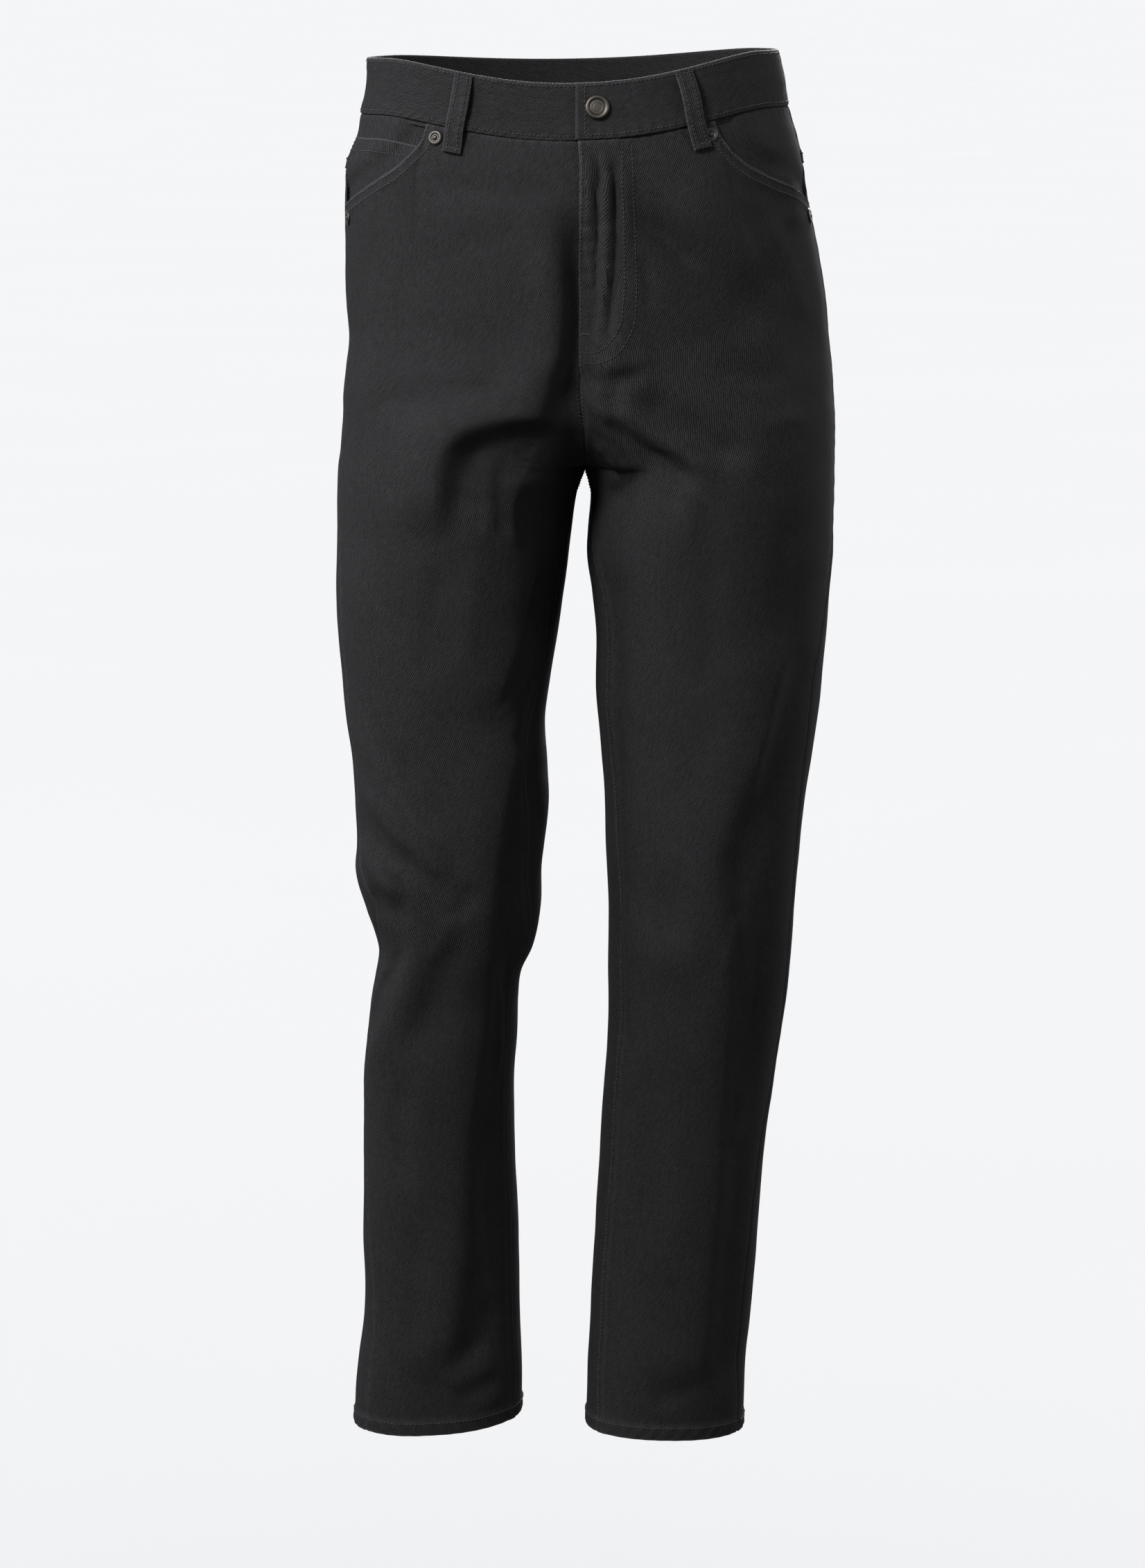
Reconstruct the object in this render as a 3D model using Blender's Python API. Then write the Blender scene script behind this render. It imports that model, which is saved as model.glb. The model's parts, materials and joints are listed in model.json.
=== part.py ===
"""Black high-waisted five-pocket jeans, tapered to the ankle, in the hollow form that they take when worn.

The garment is a thin cloth wall. One smooth form gives every point of it: a row is a half ring round the hips
above the crotch and a closed ring round each leg below it, and the rows' sizes come from the tables below.
The panels, yokes, pockets, waistband and loops are cut from that form, each with its own thickness, and what
lies on a panel is cut from the panel's own points and moved out.

Sizes are in millimetres until a mesh is made, and then in metres. +Z is up, the front faces -Y, and the
wearer's right is at -X. The origin is the middle of the waist, half way up the waistband.
"""

import math

import bmesh
import bpy
import numpy as np
from mathutils import Vector
from mathutils.geometry import delaunay_2d_cdt

MM = 0.001

# Cloth, in millimetres.
DENIM = 1.2
BAND_CLOTH = 2.4
LOOP_CLOTH = 1.8
GAP = 0.3
SEAM_HALF_GAP = 0.17

# Levels of the outer side line below the origin.
BAND_TOP = -20.0
WAIST_SEAM = 20.0
CROTCH = 275.0
HEM = 994.0

# How square the rings are: 1 is an ellipse, and less is squarer.
SQUARENESS = 0.88

# The form above the crotch. drop is how far the outer side line lies below the origin, front_dip and back_dip
# how much lower the row runs at the centre front and back, split how far the row has parted into two legs,
# from 0 for one ring round the hips to 1 at the crotch, and the rest the places of its widest points.
HIP_COLUMNS = ("drop", "front_dip", "back_dip", "split", "middle", "right", "left", "front", "back")
HIP_ROWS = (
    (-20, 19, 6, 0.00, -1, -151, 141, -84, 84),
    (0, 19, 6, 0.00, -1, -152, 146, -88, 87),
    (20, 19, 6, 0.00, -1, -156, 149, -92, 92),
    (36, 19, 7, 0.00, 0, -159, 154, -96, 97),
    (50, 19, 8, 0.00, 0, -165, 158, -99, 102),
    (80, 19, 12, 0.00, 0, -168, 163, -104, 112),
    (120, 20, 16, 0.00, 0, -168, 171, -107, 122),
    (160, 20, 20, 0.00, 0, -168, 178, -108, 128),
    (185, 20, 23, 0.12, 0, -166, 180, -108, 129),
    (205, 20, 24, 0.30, 1, -168, 182, -108, 128),
    (223, 20, 24, 0.50, 2, -170, 183, -108, 126),
    (239, 18, 21, 0.71, 3, -170, 184, -108, 124),
    (252, 14, 16, 0.87, 4, -171, 184, -107, 122),
    (264, 8, 9, 0.962, 4, -172, 184, -107, 120),
    (275, 0, 0, 1.00, 4, -174, 184, -107, 118),
)

# The two legs below the crotch. inner and outer are the sides of the leg, as the front view shows them, and
# lift is how much higher the row runs at the inner side.
LEG_COLUMNS = ("drop", "lift", "inner", "outer", "front", "back")
RIGHT_LEG_ROWS = (
    (292, 0, -1, -175, -107, 114),
    (320, 0, -5, -175, -106, 106),
    (366, 0, -11, -176, -104, 93),
    (397, 0, -16, -175, -102, 84),
    (427, 0, -21, -172, -101, 76),
    (458, 0, -25, -169, -100, 69),
    (488, 0, -23, -165, -99, 62),
    (519, 0, -22, -163, -98, 55),
    (550, 0, -25, -162, -96, 50),
    (566, 0, -27, -163, -95, 48),
    (596, 0, -28, -155, -91, 45),
    (627, 0, -34, -146, -84, 46),
    (643, 0, -41, -148, -79, 48),
    (665, 0, -44, -152, -73, 52),
    (690, 0, -45, -155, -68, 57),
    (720, 0, -47, -158, -62, 61),
    (783, 1, -47, -159, -51, 67),
    (846, 2, -45, -160, -42, 72),
    (909, 4, -44, -160, -35, 76),
    (950, 6, -43, -165, -31, 78),
    (994, 9, -43, -168, -28, 80),
)
LEFT_LEG_ROWS = (
    (292, 0, 8, 184, -107, 114),
    (321, 0, 6, 183, -106, 106),
    (336, 0, 5, 183, -105, 102),
    (366, 0, 9, 181, -103, 95),
    (397, 0, 12, 179, -101, 88),
    (442, 0, 12, 175, -98, 78),
    (473, 0, 15, 171, -96, 71),
    (504, 0, 18, 166, -94, 65),
    (535, 0, 19, 162, -92, 60),
    (565, 0, 20, 159, -90, 56),
    (596, 0, 21, 157, -87, 54),
    (643, 0, 21, 154, -80, 54),
    (690, 0, 21, 148, -72, 56),
    (736, 0, 18, 142, -64, 59),
    (783, 0, 15, 137, -57, 61),
    (846, 0, 11, 133, -49, 64),
    (909, 1, 8, 128, -43, 66),
    (950, 1, 6, 124, -40, 68),
    (994, 2, 5, 122, -38, 69),
)

# How far the side seam and the inseam lie in front of the leg's outermost and innermost lines, in degrees.
SEAM_COLUMNS = ("drop", "right_side", "right_inseam", "left_side", "left_inseam")
SEAM_ROWS = (
    (-20, 6, 0, 5, 0),
    (200, 8, 0, 5, 0),
    (275, 11, 0, 6, 0),
    (295, 13, 12, 6, 8),
    (322, 16, 19, 9, 17),
    (361, 20, 16, 15, 27),
    (411, 21, 20, 25, 27),
    (487, 19, 38, 25, 25),
    (551, 19, 32, 20, 26),
    (584, 32, 28, 18, 27),
    (625, 17, 22, 19, 28),
    (690, 13, 20, 13, 30),
    (780, 17, 22, 21, 32),
    (874, 30, 23, 30, 31),
    (994, 35, 24, 26, 33),
)

# The waist is tilted: this much higher for each millimetre towards the wearer's left, fading out below.
WAIST_TILT = 0.02
TILT_ENDS = 130.0


def table_column(rows, columns, name):
    """One named column of a table, as an array."""
    return np.array([row[columns.index(name)] for row in rows], float)


def even_slopes(knots, values):
    """Slopes for a curve that never runs past its knots: flat wherever a neighbouring stretch is flat."""
    steps = np.diff(values) / np.diff(knots)
    before, after = steps[:-1], steps[1:]
    same_way = before * after > 0
    both = np.where(same_way, before + after, 1)
    inner = np.where(same_way, 2 * before * after / both, 0)
    return np.concatenate([steps[:1], inner, steps[-1:]])


def smooth(knots, values, at, even=False):
    """A smooth curve through a table's column: cubic between the knots, with the slopes of its neighbours."""
    slopes = even_slopes(knots, values) if even else np.gradient(values, knots)
    at = np.clip(at, knots[0], knots[-1])
    i = np.clip(np.searchsorted(knots, at, side="right") - 1, 0, len(knots) - 2)
    width = knots[i + 1] - knots[i]
    t = (at - knots[i]) / width
    start = values[i] * (1 + 2 * t) * (1 - t) ** 2 + slopes[i] * width * t * (1 - t) ** 2
    end = values[i + 1] * t * t * (3 - 2 * t) + slopes[i + 1] * width * t * t * (t - 1)
    return start + end


def ease(t):
    """0 below 0, 1 above 1, and smooth between."""
    t = np.clip(t, 0, 1)
    return t * t * (3 - 2 * t)


class Side:
    """The form of one half of the garment: the wearer's right or left."""

    def __init__(self, name):
        self.name = name
        self.sign = -1 if name == "right" else 1
        legs = RIGHT_LEG_ROWS if name == "right" else LEFT_LEG_ROWS
        hip = {c: table_column(HIP_ROWS, HIP_COLUMNS, c) for c in HIP_COLUMNS}
        leg = {c: table_column(legs, LEG_COLUMNS, c) for c in LEG_COLUMNS}
        self.drops = np.concatenate([hip["drop"], leg["drop"]])
        self.columns = {
            "front_dip": np.concatenate([hip["front_dip"], -leg["lift"]]),
            "back_dip": np.concatenate([hip["back_dip"], -leg["lift"]]),
            "split": np.concatenate([hip["split"], np.ones(len(legs))]),
            "inner": np.concatenate([hip["middle"], leg["inner"]]),
            "outer": np.concatenate([hip[name], leg["outer"]]),
            "front": np.concatenate([hip["front"], leg["front"]]),
            "back": np.concatenate([hip["back"], leg["back"]]),
        }
        self.seam_drops = table_column(SEAM_ROWS, SEAM_COLUMNS, "drop")
        self.side_seam = table_column(SEAM_ROWS, SEAM_COLUMNS, name + "_side")
        self.inseam = table_column(SEAM_ROWS, SEAM_COLUMNS, name + "_inseam")

    def row(self, column, drop):
        even = column in ("split", "front_dip", "back_dip")
        return smooth(self.drops, self.columns[column], drop, even)

    def turn_end(self, drop):
        """The angle from the outer side line to the row's end, in degrees: 90 round the hips, 180 round a leg."""
        split = np.clip(self.row("split", drop), 0, 1)
        return np.degrees(np.arccos(-(split ** (1 / SQUARENESS))))

    def seam_turns(self, drop):
        """Where the front panel begins and ends, in degrees: at the inseam or centre front, and at the side."""
        return (
            -self.turn_end(drop) + smooth(self.seam_drops, self.inseam, drop),
            -smooth(self.seam_drops, self.side_seam, drop),
        )

    def points(self, drop, turn):
        """Points of the form, in millimetres. turn is the angle round the row: 0 at the outer side, minus in front."""
        drop, turn = np.broadcast_arrays(np.asarray(drop, float), np.asarray(turn, float))
        inner, outer, split = (self.row(c, drop) for c in ("inner", "outer", "split"))
        split = np.clip(split, 0, 1)
        front, back = self.row("front", drop), self.row("back", drop)
        middle = inner + (outer - inner) * split / (1 + split)
        angle = np.radians(turn)
        across, along = np.cos(angle), np.sin(angle)
        x = middle + (outer - middle) * np.sign(across) * np.abs(across) ** SQUARENESS
        y = (front + back) / 2 + (back - front) / 2 * np.sign(along) * np.abs(along) ** SQUARENESS
        round_to_end = np.abs((turn + 180) % 360 - 180) / self.turn_end(drop)
        dip = np.where(along < 0, self.row("front_dip", drop), self.row("back_dip", drop))
        z = -drop - dip * ease((round_to_end - 0.3) / 0.7)
        z = z + WAIST_TILT * x * (1 - ease(drop / TILT_ENDS))
        return np.stack([x, y, z], axis=-1)


# Folds of the worn cloth. face is the side of the garment that the path is drawn on, and path the points
# (across, up) on it, in millimetres. height is out from the form when plus, and edge and soft the widths of the
# fold on the right and on the left of its path, going along it. Where lip is more than 0 the cloth drops off
# into a hollow on the right of the path, as it does under a pulled fold.
FOLD_COLUMNS = ("side", "face", "height", "edge", "soft", "lip", "path")
FOLDS = (
    # Pulled folds round the crotch, seen in front.
    ("right", "front", 7.0, 11, 30, 1.5,
     ((-101, -316), (-101, -282), (-97, -259), (-86, -243), (-62, -234), (-38, -230), (-18, -234), (-6, -246))),
    ("both", "front", -9, 13, 12, 0, ((-3, -84), (-2, -110), (-1, -150), (-1, -200), (-1, -240), (0, -266))),
    ("both", "front", 3.4, 9, 24, 2.4,
     ((-38, -240), (-29, -224), (-22, -204), (-16, -180), (-14, -146), (-18, -106))),
    ("both", "front", -5, 17, 15, 0, ((-12, -196), (-18, -230), (-20, -268))),
    ("right", "front", -9, 26, 24, 0, ((-24, -278), (-24, -305), (-24, -345), (-28, -400))),
    ("right", "front", -2.5, 14, 12, 0, ((-144, -218), (-90, -219), (-42, -214))),
    ("right", "front", -2.0, 10, 14, 0, ((-114, -70), (-64, -72), (-14, -78))),
    ("left", "front", -6.0, 14, 18, 0, ((40, -86), (62, -106), (80, -124), (102, -146), (134, -174))),
    ("left", "front", 2.5, 18, 24, 0, ((60, -78), (95, -104), (132, -136))),
    ("left", "front", -5.5, 10, 14, 0, ((36, -214), (52, -226), (64, -236), (80, -244), (98, -253), (120, -266))),
    ("left", "front", 3.5, 9, 9, 0, ((29, -212), (36, -230), (52, -244), (70, -256), (86, -268), (93, -284))),
    ("left", "front", -5.0, 8, 9, 0, ((12, -234), (26, -244), (42, -254), (60, -265), (86, -282))),
    ("left", "front", 3.0, 9, 10, 0, ((18, -261), (34, -268), (48, -266))),
    ("left", "front", -4.0, 7, 9, 0, ((48, -267), (36, -280), (20, -295))),
    ("left", "front", -3.0, 8, 10, 0, ((21, -228), (28, -208), (46, -200))),
    ("left", "front", 3.0, 26, 30, 0, ((38, -302), (62, -302), (88, -300))),
    ("right", "front", -2.5, 6, 8, 0, ((-54, -260), (-56, -290), (-54, -322))),
    ("right", "front", -3.0, 6, 8, 0, ((-36, -284), (-38, -304), (-33, -332))),
    ("left", "front", 3.0, 10, 16, 0, ((144, -58), (149, -80), (153, -104))),
    # The wearer's right leg, from the thigh to the hem.
    ("right", "front", 4.0, 13, 26, 1.3, ((-66, -450), (-56, -420), (-44, -388), (-33, -360), (-21, -326))),
    ("right", "front", 4.5, 15, 30, 1.2,
     ((-101, -950), (-99, -925), (-95, -890), (-90, -850), (-88, -800), (-85, -760), (-76, -700), (-70, -650),
      (-69, -600), (-63, -550), (-57, -510), (-49, -475), (-44, -450))),
    ("right", "front", 2.5, 9, 9, 0, ((-54, -436), (-42, -460))),
    ("right", "front", -3.5, 8, 9, 0, ((-29, -422), (-38, -448), (-45, -474))),
    ("right", "front", 2.6, 10, 14, 0, ((-159, -446), (-147, -485), (-128, -520), (-96, -556))),
    ("right", "front", 3.0, 8, 10, 0, ((-157, -498), (-138, -524), (-112, -548), (-88, -563))),
    ("right", "front", -2.6, 12, 15, 0, ((-160, -527), (-138, -546), (-110, -564))),
    ("right", "front", 2.2, 7, 9, 0, ((-159, -546), (-148, -560), (-138, -572), (-128, -579))),
    ("right", "front", -2.4, 10, 13, 0, ((-152, -580), (-140, -588), (-120, -590))),
    ("right", "front", 3.4, 11, 17, 0, ((-110, -602), (-120, -632), (-132, -664), (-148, -698), (-153, -724))),
    ("right", "front", -3.0, 13, 16, 0, ((-88, -600), (-100, -634), (-108, -662), (-124, -698))),
    ("right", "front", -2.0, 10, 12, 0, ((-103, -943), (-88, -933), (-72, -920), (-61, -886))),
    ("right", "front", 1.8, 10, 12, 0, ((-102, -955), (-84, -947), (-60, -936))),
    # The wearer's left leg, from the thigh to the hem.
    ("left", "front", 4.5, 15, 32, 1.2,
     ((83, -958), (88, -920), (92, -860), (97, -800), (99, -750), (101, -700), (103, -650), (100, -600), (96, -555),
      (106, -515), (119, -480), (134, -432), (147, -392))),
    ("left", "front", -2.5, 9, 11, 0, ((28, -330), (27, -420), (27, -520), (28, -600), (30, -700))),
    ("left", "front", -1.8, 20, 26, 0, ((26, -566), (50, -584), (84, -592))),
    ("left", "front", 1.8, 20, 26, 0, ((28, -604), (56, -620), (92, -622))),
    ("left", "front", -1.4, 12, 14, 0, ((92, -946), (74, -957), (52, -964))),
    # The back, finished with the same kinds of fold.
    ("both", "back", -5.0, 18, 18, 0, ((0, -106), (1, -170), (3, -230), (4, -270))),
    ("right", "back", 5.0, 26, 10, -1.2, ((-24, -256), (-62, -276), (-112, -282), (-150, -264))),
    ("left", "back", 5.0, 10, 26, 1.2, ((28, -260), (70, -282), (116, -286), (156, -270))),
    ("right", "back", 4.0, 20, 26, 0, ((-34, -312), (-76, -330), (-122, -334))),
    ("left", "back", 4.0, 26, 20, 0, ((40, -318), (80, -334), (124, -342))),
    ("right", "back", -4.0, 16, 22, 0, ((-44, -372), (-72, -440), (-118, -500))),
    ("left", "back", -4.0, 22, 16, 0, ((48, -366), (76, -430), (122, -486))),
    ("right", "back", -6.0, 12, 16, 0, ((-60, -566), (-96, -580), (-138, -570))),
    ("left", "back", -6.0, 16, 12, 0, ((44, -572), (84, -586), (132, -578))),
    ("right", "back", 5.0, 15, 18, 0, ((-62, -600), (-100, -614), (-140, -602))),
    ("left", "back", 5.0, 18, 15, 0, ((46, -606), (86, -620), (128, -610))),
    ("right", "back", -5.0, 13, 16, 0, ((-70, -648), (-104, -658), (-138, -646))),
    ("left", "back", -5.0, 16, 13, 0, ((50, -646), (84, -658), (120, -648))),
    ("right", "back", -3.0, 22, 28, 0, ((-84, -700), (-104, -800), (-112, -900))),
    ("left", "back", -3.0, 28, 22, 0, ((60, -700), (72, -800), (76, -900))),
)

# The cut edge of the front pocket's opening, as drop and turn: from the waistband to the side seam.
SCOOP_COLUMNS = ("drop", "right_turn", "left_turn")
SCOOP_ROWS = (
    (20, -49, -53),
    (32, -48, -52),
    (44, -45, -49),
    (55, -41, -44),
    (66, -33, -35),
    (75, -24, -24),
    (82, -15, -13),
    (87, -7.2, -5),
)
SCOOP_END = 87.0

# Levels of the rows of the leg panels, down the side seam.
PANEL_DROPS = (
    20.3, 33, 46, 60, 82, 102, 122, 142, 162, 182, 200, 212, 222, 231, 240, 250, 260, 270, 275, 280, 288, 300, 316,
    333, 351, 369, 387, 406, 425, 444, 463, 482, 501, 520, 538, 554, 570, 586, 602, 618, 634, 651, 669, 690,
    713, 738, 765, 793, 822, 851, 880, 908, 935, 960, 980, 985, 994,
)
STRAIGHT_ROWS = 240.0
# Where the columns of a panel run, as a share of its width from the side seam.
FRONT_COLUMNS = {
    "right": (0, 0.09, 0.18, 0.27, 0.36, 0.43, 0.485, 0.515, 0.63, 0.75, 0.85, 0.92, 0.96, 1),
    "left": (0, 0.09, 0.18, 0.27, 0.36, 0.43, 0.485, 0.515, 0.63, 0.75, 0.86, 0.945, 1),
}
BACK_COLUMNS = (0, 0.09, 0.18, 0.26, 0.355, 0.45, 0.545, 0.64, 0.735, 0.83, 0.915, 1)
SCOOP_COLUMN = 0.515
YOKE_SIDE = 60.0
YOKE_CENTRE = 92.0

# The fly: the left front lies over the right one down to the stitched bottom of the fly.
FLY_LIFT = 1.9
FLY_UNDER = 6.0
FLY_BOTTOM = 186.0


def polyline(points, step=4.0):
    """Points close together along a smooth curve through the given ones."""
    points = np.array(points, float)
    lengths = np.concatenate([[0], np.cumsum(np.linalg.norm(np.diff(points, axis=0), axis=1))])
    at = np.linspace(0, lengths[-1], max(3, int(lengths[-1] / step) + 1))
    return np.stack([smooth(lengths, points[:, k], at) for k in range(points.shape[1])], axis=1)


def lookup(side):
    """A fine net of points of one side's form, and the turn of each, to find places on it."""
    drops = np.arange(-20.0, 994.1, 4.0)
    shares = np.linspace(-1, 1, 161)
    drop = np.repeat(drops[:, None], len(shares), axis=1)
    turn = side.turn_end(drops)[:, None] * shares[None, :]
    return drop, turn, side.points(drop, turn)


SIDES = {name: Side(name) for name in ("right", "left")}
NETS = {name: lookup(SIDES[name]) for name in SIDES}


def find_place(name, face, across, up):
    """The drop and turn of the point of a side's form that is seen at (across, up) from in front or behind."""
    drop, turn, points = NETS[name]
    miss = (points[..., 0] - across) ** 2 + (points[..., 2] - up) ** 2
    wrong = turn > 0 if face == "front" else turn < 0
    miss = np.where(wrong, 1e9, miss)
    r, c = np.unravel_index(np.argmin(miss), miss.shape)
    # Then the same on a finer net round the nearest point.
    down, round_way = drop[1, 0] - drop[0, 0], turn[r, 1] - turn[r, 0]
    part = np.linspace(-1, 1, 17)
    drop, turn = np.broadcast_arrays(drop[r, c] + down * part[:, None], turn[r, c] + round_way * part[None, :])
    points = SIDES[name].points(drop, turn)
    miss = (points[..., 0] - across) ** 2 + (points[..., 2] - up) ** 2
    spot = np.unravel_index(np.argmin(miss), miss.shape)
    return drop[spot], turn[spot]


def fold_lines():
    """The folds of each side: their lines in space and their sizes."""
    lines = {"right": [], "left": []}
    for row in FOLDS:
        fold = dict(zip(FOLD_COLUMNS, row))
        flat = polyline(fold["path"], 8.0)
        on = fold["side"]
        space = []
        for across, up in flat:
            name = on if on != "both" else ("right" if across < 2 else "left")
            drop, turn = find_place(name, fold["face"], across, up)
            space.append(SIDES[name].points(drop, turn))
        fold["line"] = polyline(space, 5.0)
        for name in ("right", "left"):
            if on in (name, "both"):
                lines[name].append(fold)
    return lines


FOLD_LINES = fold_lines()


def nearest_on(line, points):
    """For each point, how many steps along a line its nearest place lies, and the way from that to it."""
    away = points[:, None, :] - line[None, :, :]
    near = np.argmin(np.einsum("nkc,nkc->nk", away, away), axis=1)
    best = np.full(len(points), np.inf)
    at = np.zeros(len(points))
    for first in (np.maximum(near - 1, 0), np.minimum(near, len(line) - 2)):
        step = line[first + 1] - line[first]
        t = np.einsum("nc,nc->n", points - line[first], step) / np.maximum(np.einsum("nc,nc->n", step, step), 1e-9)
        t = np.clip(t, 0, 1)
        miss = np.einsum("nc,nc->n", *(2 * [points - line[first] - t[:, None] * step]))
        closer = miss < best
        best = np.where(closer, miss, best)
        at = np.where(closer, first + t, at)
    spot = np.stack([np.interp(at, np.arange(len(line)), line[:, k]) for k in range(3)], axis=1)
    return at, points - spot


def fold_height(name, points, normals):
    """How far the folds move each point of a side's form along its normal."""
    size = points.shape[:-1]
    points, normals = points.reshape(-1, 3), normals.reshape(-1, 3)
    height = np.zeros(len(points))
    for fold in FOLD_LINES[name]:
        line = fold["line"]
        reach = 2.2 * max(fold["edge"] * (3 if fold["lip"] else 1), fold["soft"])
        low, high = line.min(axis=0) - reach, line.max(axis=0) + reach
        close = np.flatnonzero(np.all((points > low) & (points < high), axis=1))
        if not len(close):
            continue
        near, away = nearest_on(line, points[close])
        last = len(line) - 1
        ways = np.gradient(line, axis=0)
        along = unit(np.stack([np.interp(near, np.arange(last + 1), ways[:, k]) for k in range(3)], axis=1))
        over = np.einsum("nc,nc->n", unit(np.cross(along, normals[close])), away)
        past = np.einsum("nc,nc->n", along, away)
        beyond = ((near <= 0) & (past < 0)) | ((near >= last) & (past > 0))
        sideways = away - along * np.where(beyond, 0, past)[:, None]
        far = np.linalg.norm(sideways, axis=1)
        right_of = ease(over / np.maximum(far, 1e-6) * 0.5 + 0.5)
        width = fold["soft"] + (fold["edge"] - fold["soft"]) * right_of
        step = np.linalg.norm(line[1] - line[0])
        share = (near + np.where(beyond, past / step, 0)) / last
        ends = min(0.3, 40 / (last * step))
        fade = ease(share / ends + 0.2) * ease((1 - share) / ends + 0.2)
        shape = np.exp(-((far / width) ** 2))
        hollow = right_of if fold["lip"] > 0 else 1 - right_of
        lip = abs(fold["lip"])
        shape += lip * hollow * (shape - np.exp(-((far / (3 * width)) ** 2)))
        height[close] += fold["height"] * fade * shape
    return height.reshape(size)


def unit(vectors):
    return vectors / np.maximum(np.linalg.norm(vectors, axis=-1), 1e-12)[..., None]


def plain_normals(side, drop, turn):
    """Outward normals of the form without its folds."""
    down = side.points(drop + 2, turn) - side.points(drop - 2, turn)
    round_way = side.points(drop, turn + 1) - side.points(drop, turn - 1)
    return unit(np.cross(down, round_way)) * side.sign


def folded(side, drop, turn):
    """Points of the form with its folds."""
    base = side.points(drop, turn)
    normals = plain_normals(side, drop, turn)
    height = fold_height(side.name, base, normals)
    height = height * ease((np.asarray(drop) - 24) / 40) * ease((1000 - np.asarray(drop)) / 30)
    return base + normals * height[..., None]


def hold_centre(side, drop, turn, points):
    """Shifts the cloth beside the centre seam, from the fly to the crotch, so that both sides' edges meet there."""
    drop, turn = np.broadcast_arrays(np.asarray(drop, float), np.asarray(turn, float))
    limit = side.sign * side.row("inner", drop) + SEAM_HALF_GAP
    from_edge = np.abs(side.turn_end(drop) - np.abs(turn)) * 2.4
    below = (drop > 176) & (drop <= CROTCH)
    held = (1 - ease(from_edge / 16)) * ease((drop - 176) / 8) * below
    points = np.array(points)
    x = side.sign * points[..., 0]
    moved = below & (from_edge < 30)
    if np.any(moved):
        level, place = drop[moved], turn[moved]
        other = SIDES["left" if side.name == "right" else "right"]
        way = np.where(place < 0, -1, 1)
        edge = folded(side, level, way * side.turn_end(level))
        twin = folded(other, level, way * other.turn_end(level))
        error = x[moved] + side.sign * (edge - folded(side, level, place))[..., 0] - limit[moved]
        x[moved] -= error * held[moved]
        near = (1 - ease(from_edge[moved] / 30)) * ease((level - 184) / 12) * ease((CROTCH - level) / 12)
        points[moved, 1] += (twin - edge)[..., 1] / 2 * near
    points[..., 0] = side.sign * np.where(below, np.maximum(x, limit), x)
    return points


def surface(side, drop, turn):
    """Points of the outside of the cloth, and its outward normals."""
    drop, turn = np.broadcast_arrays(np.asarray(drop, float), np.asarray(turn, float))
    points = folded(side, drop, turn)
    down = folded(side, drop + 3, turn) - folded(side, drop - 3, turn)
    round_way = folded(side, drop, turn + 2) - folded(side, drop, turn - 2)
    normals = unit(np.cross(down, round_way)) * side.sign
    return hold_centre(side, drop, turn, points), normals


def degrees_of(side, drop, turn, length):
    """The turn that a length in millimetres round the form takes up at a place."""
    step = np.linalg.norm(side.points(drop, turn + 0.5) - side.points(drop, turn - 0.5), axis=-1)
    return length / step


def scoop_drop(name, turn):
    """How far down the front pocket's edge lies at a turn, or the waist seam's level beyond it."""
    turns = table_column(SCOOP_ROWS, SCOOP_COLUMNS, name + "_turn")
    drops = table_column(SCOOP_ROWS, SCOOP_COLUMNS, "drop")
    return np.where(turn < turns[0], PANEL_DROPS[0], smooth(-turns[::-1], drops[::-1], -turn))


def front_net(name):
    """The rows and columns of a front panel: the drop and turn of each point."""
    side = SIDES[name]
    turns = table_column(SCOOP_ROWS, SCOOP_COLUMNS, name + "_turn")
    drops = table_column(SCOOP_ROWS, SCOOP_COLUMNS, "drop")
    shares = np.array(FRONT_COLUMNS[name])
    # The top edge: down the scoop for the columns outside it, and along the waist seam for the rest.
    out = shares < SCOOP_COLUMN - 1e-6
    reach = 1 - shares[out] / SCOOP_COLUMN
    lengths = np.concatenate([[0], np.cumsum(np.hypot(np.diff(drops), 2.7 * np.diff(turns)))])
    top = np.full(len(shares), PANEL_DROPS[0])
    top_turn = np.full(len(shares), turns[0])
    top[out] = np.interp(reach * lengths[-1], lengths, drops)
    top_turn[out] = np.interp(reach * lengths[-1], lengths, turns)
    end = -side.turn_end(PANEL_DROPS[0])
    inner = ~out
    top_turn[inner] = turns[0] + (end - turns[0]) * (shares[inner] - SCOOP_COLUMN) / (1 - SCOOP_COLUMN)
    rows = np.array([d for d in PANEL_DROPS if d < 25 or d > 40])
    share_down = np.clip((rows - rows[0]) / (STRAIGHT_ROWS - rows[0]), 0, 1)
    drop = top[None, :] + (STRAIGHT_ROWS - top[None, :]) * share_down[:, None]
    drop = np.where(rows[:, None] > STRAIGHT_ROWS, rows[:, None], drop)
    inner_turn, outer_turn = side.seam_turns(drop)
    slack = degrees_of(side, drop, outer_turn, SEAM_HALF_GAP)
    slack_in = degrees_of(side, drop, inner_turn, SEAM_HALF_GAP)
    slack_in = np.where(drop <= CROTCH - 12, 0, slack_in)
    plain_end = inner_turn
    under = 0 * drop
    if name == "right":
        under = 1 - ease((drop - 148) / 14)
        slack_in = slack_in - under * degrees_of(side, drop, inner_turn, FLY_UNDER)
    outer_turn, inner_turn = outer_turn - slack, inner_turn + slack_in
    even = outer_turn + (inner_turn - outer_turn) * shares[None, :]
    slanted = top_turn[None, :] + 0 * drop
    slanted[:, -1] = inner_turn[:, -1]
    blend = ease(share_down)[:, None]
    turn = slanted + (even - slanted) * blend
    turn[:, 0] = outer_turn[:, 0]
    # Where the right front lies under the left one, a column of its own runs down the fly's edge.
    turn[:, -2] += (plain_end[:, -2] - turn[:, -2]) * under[:, -2]
    return drop, turn


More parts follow.
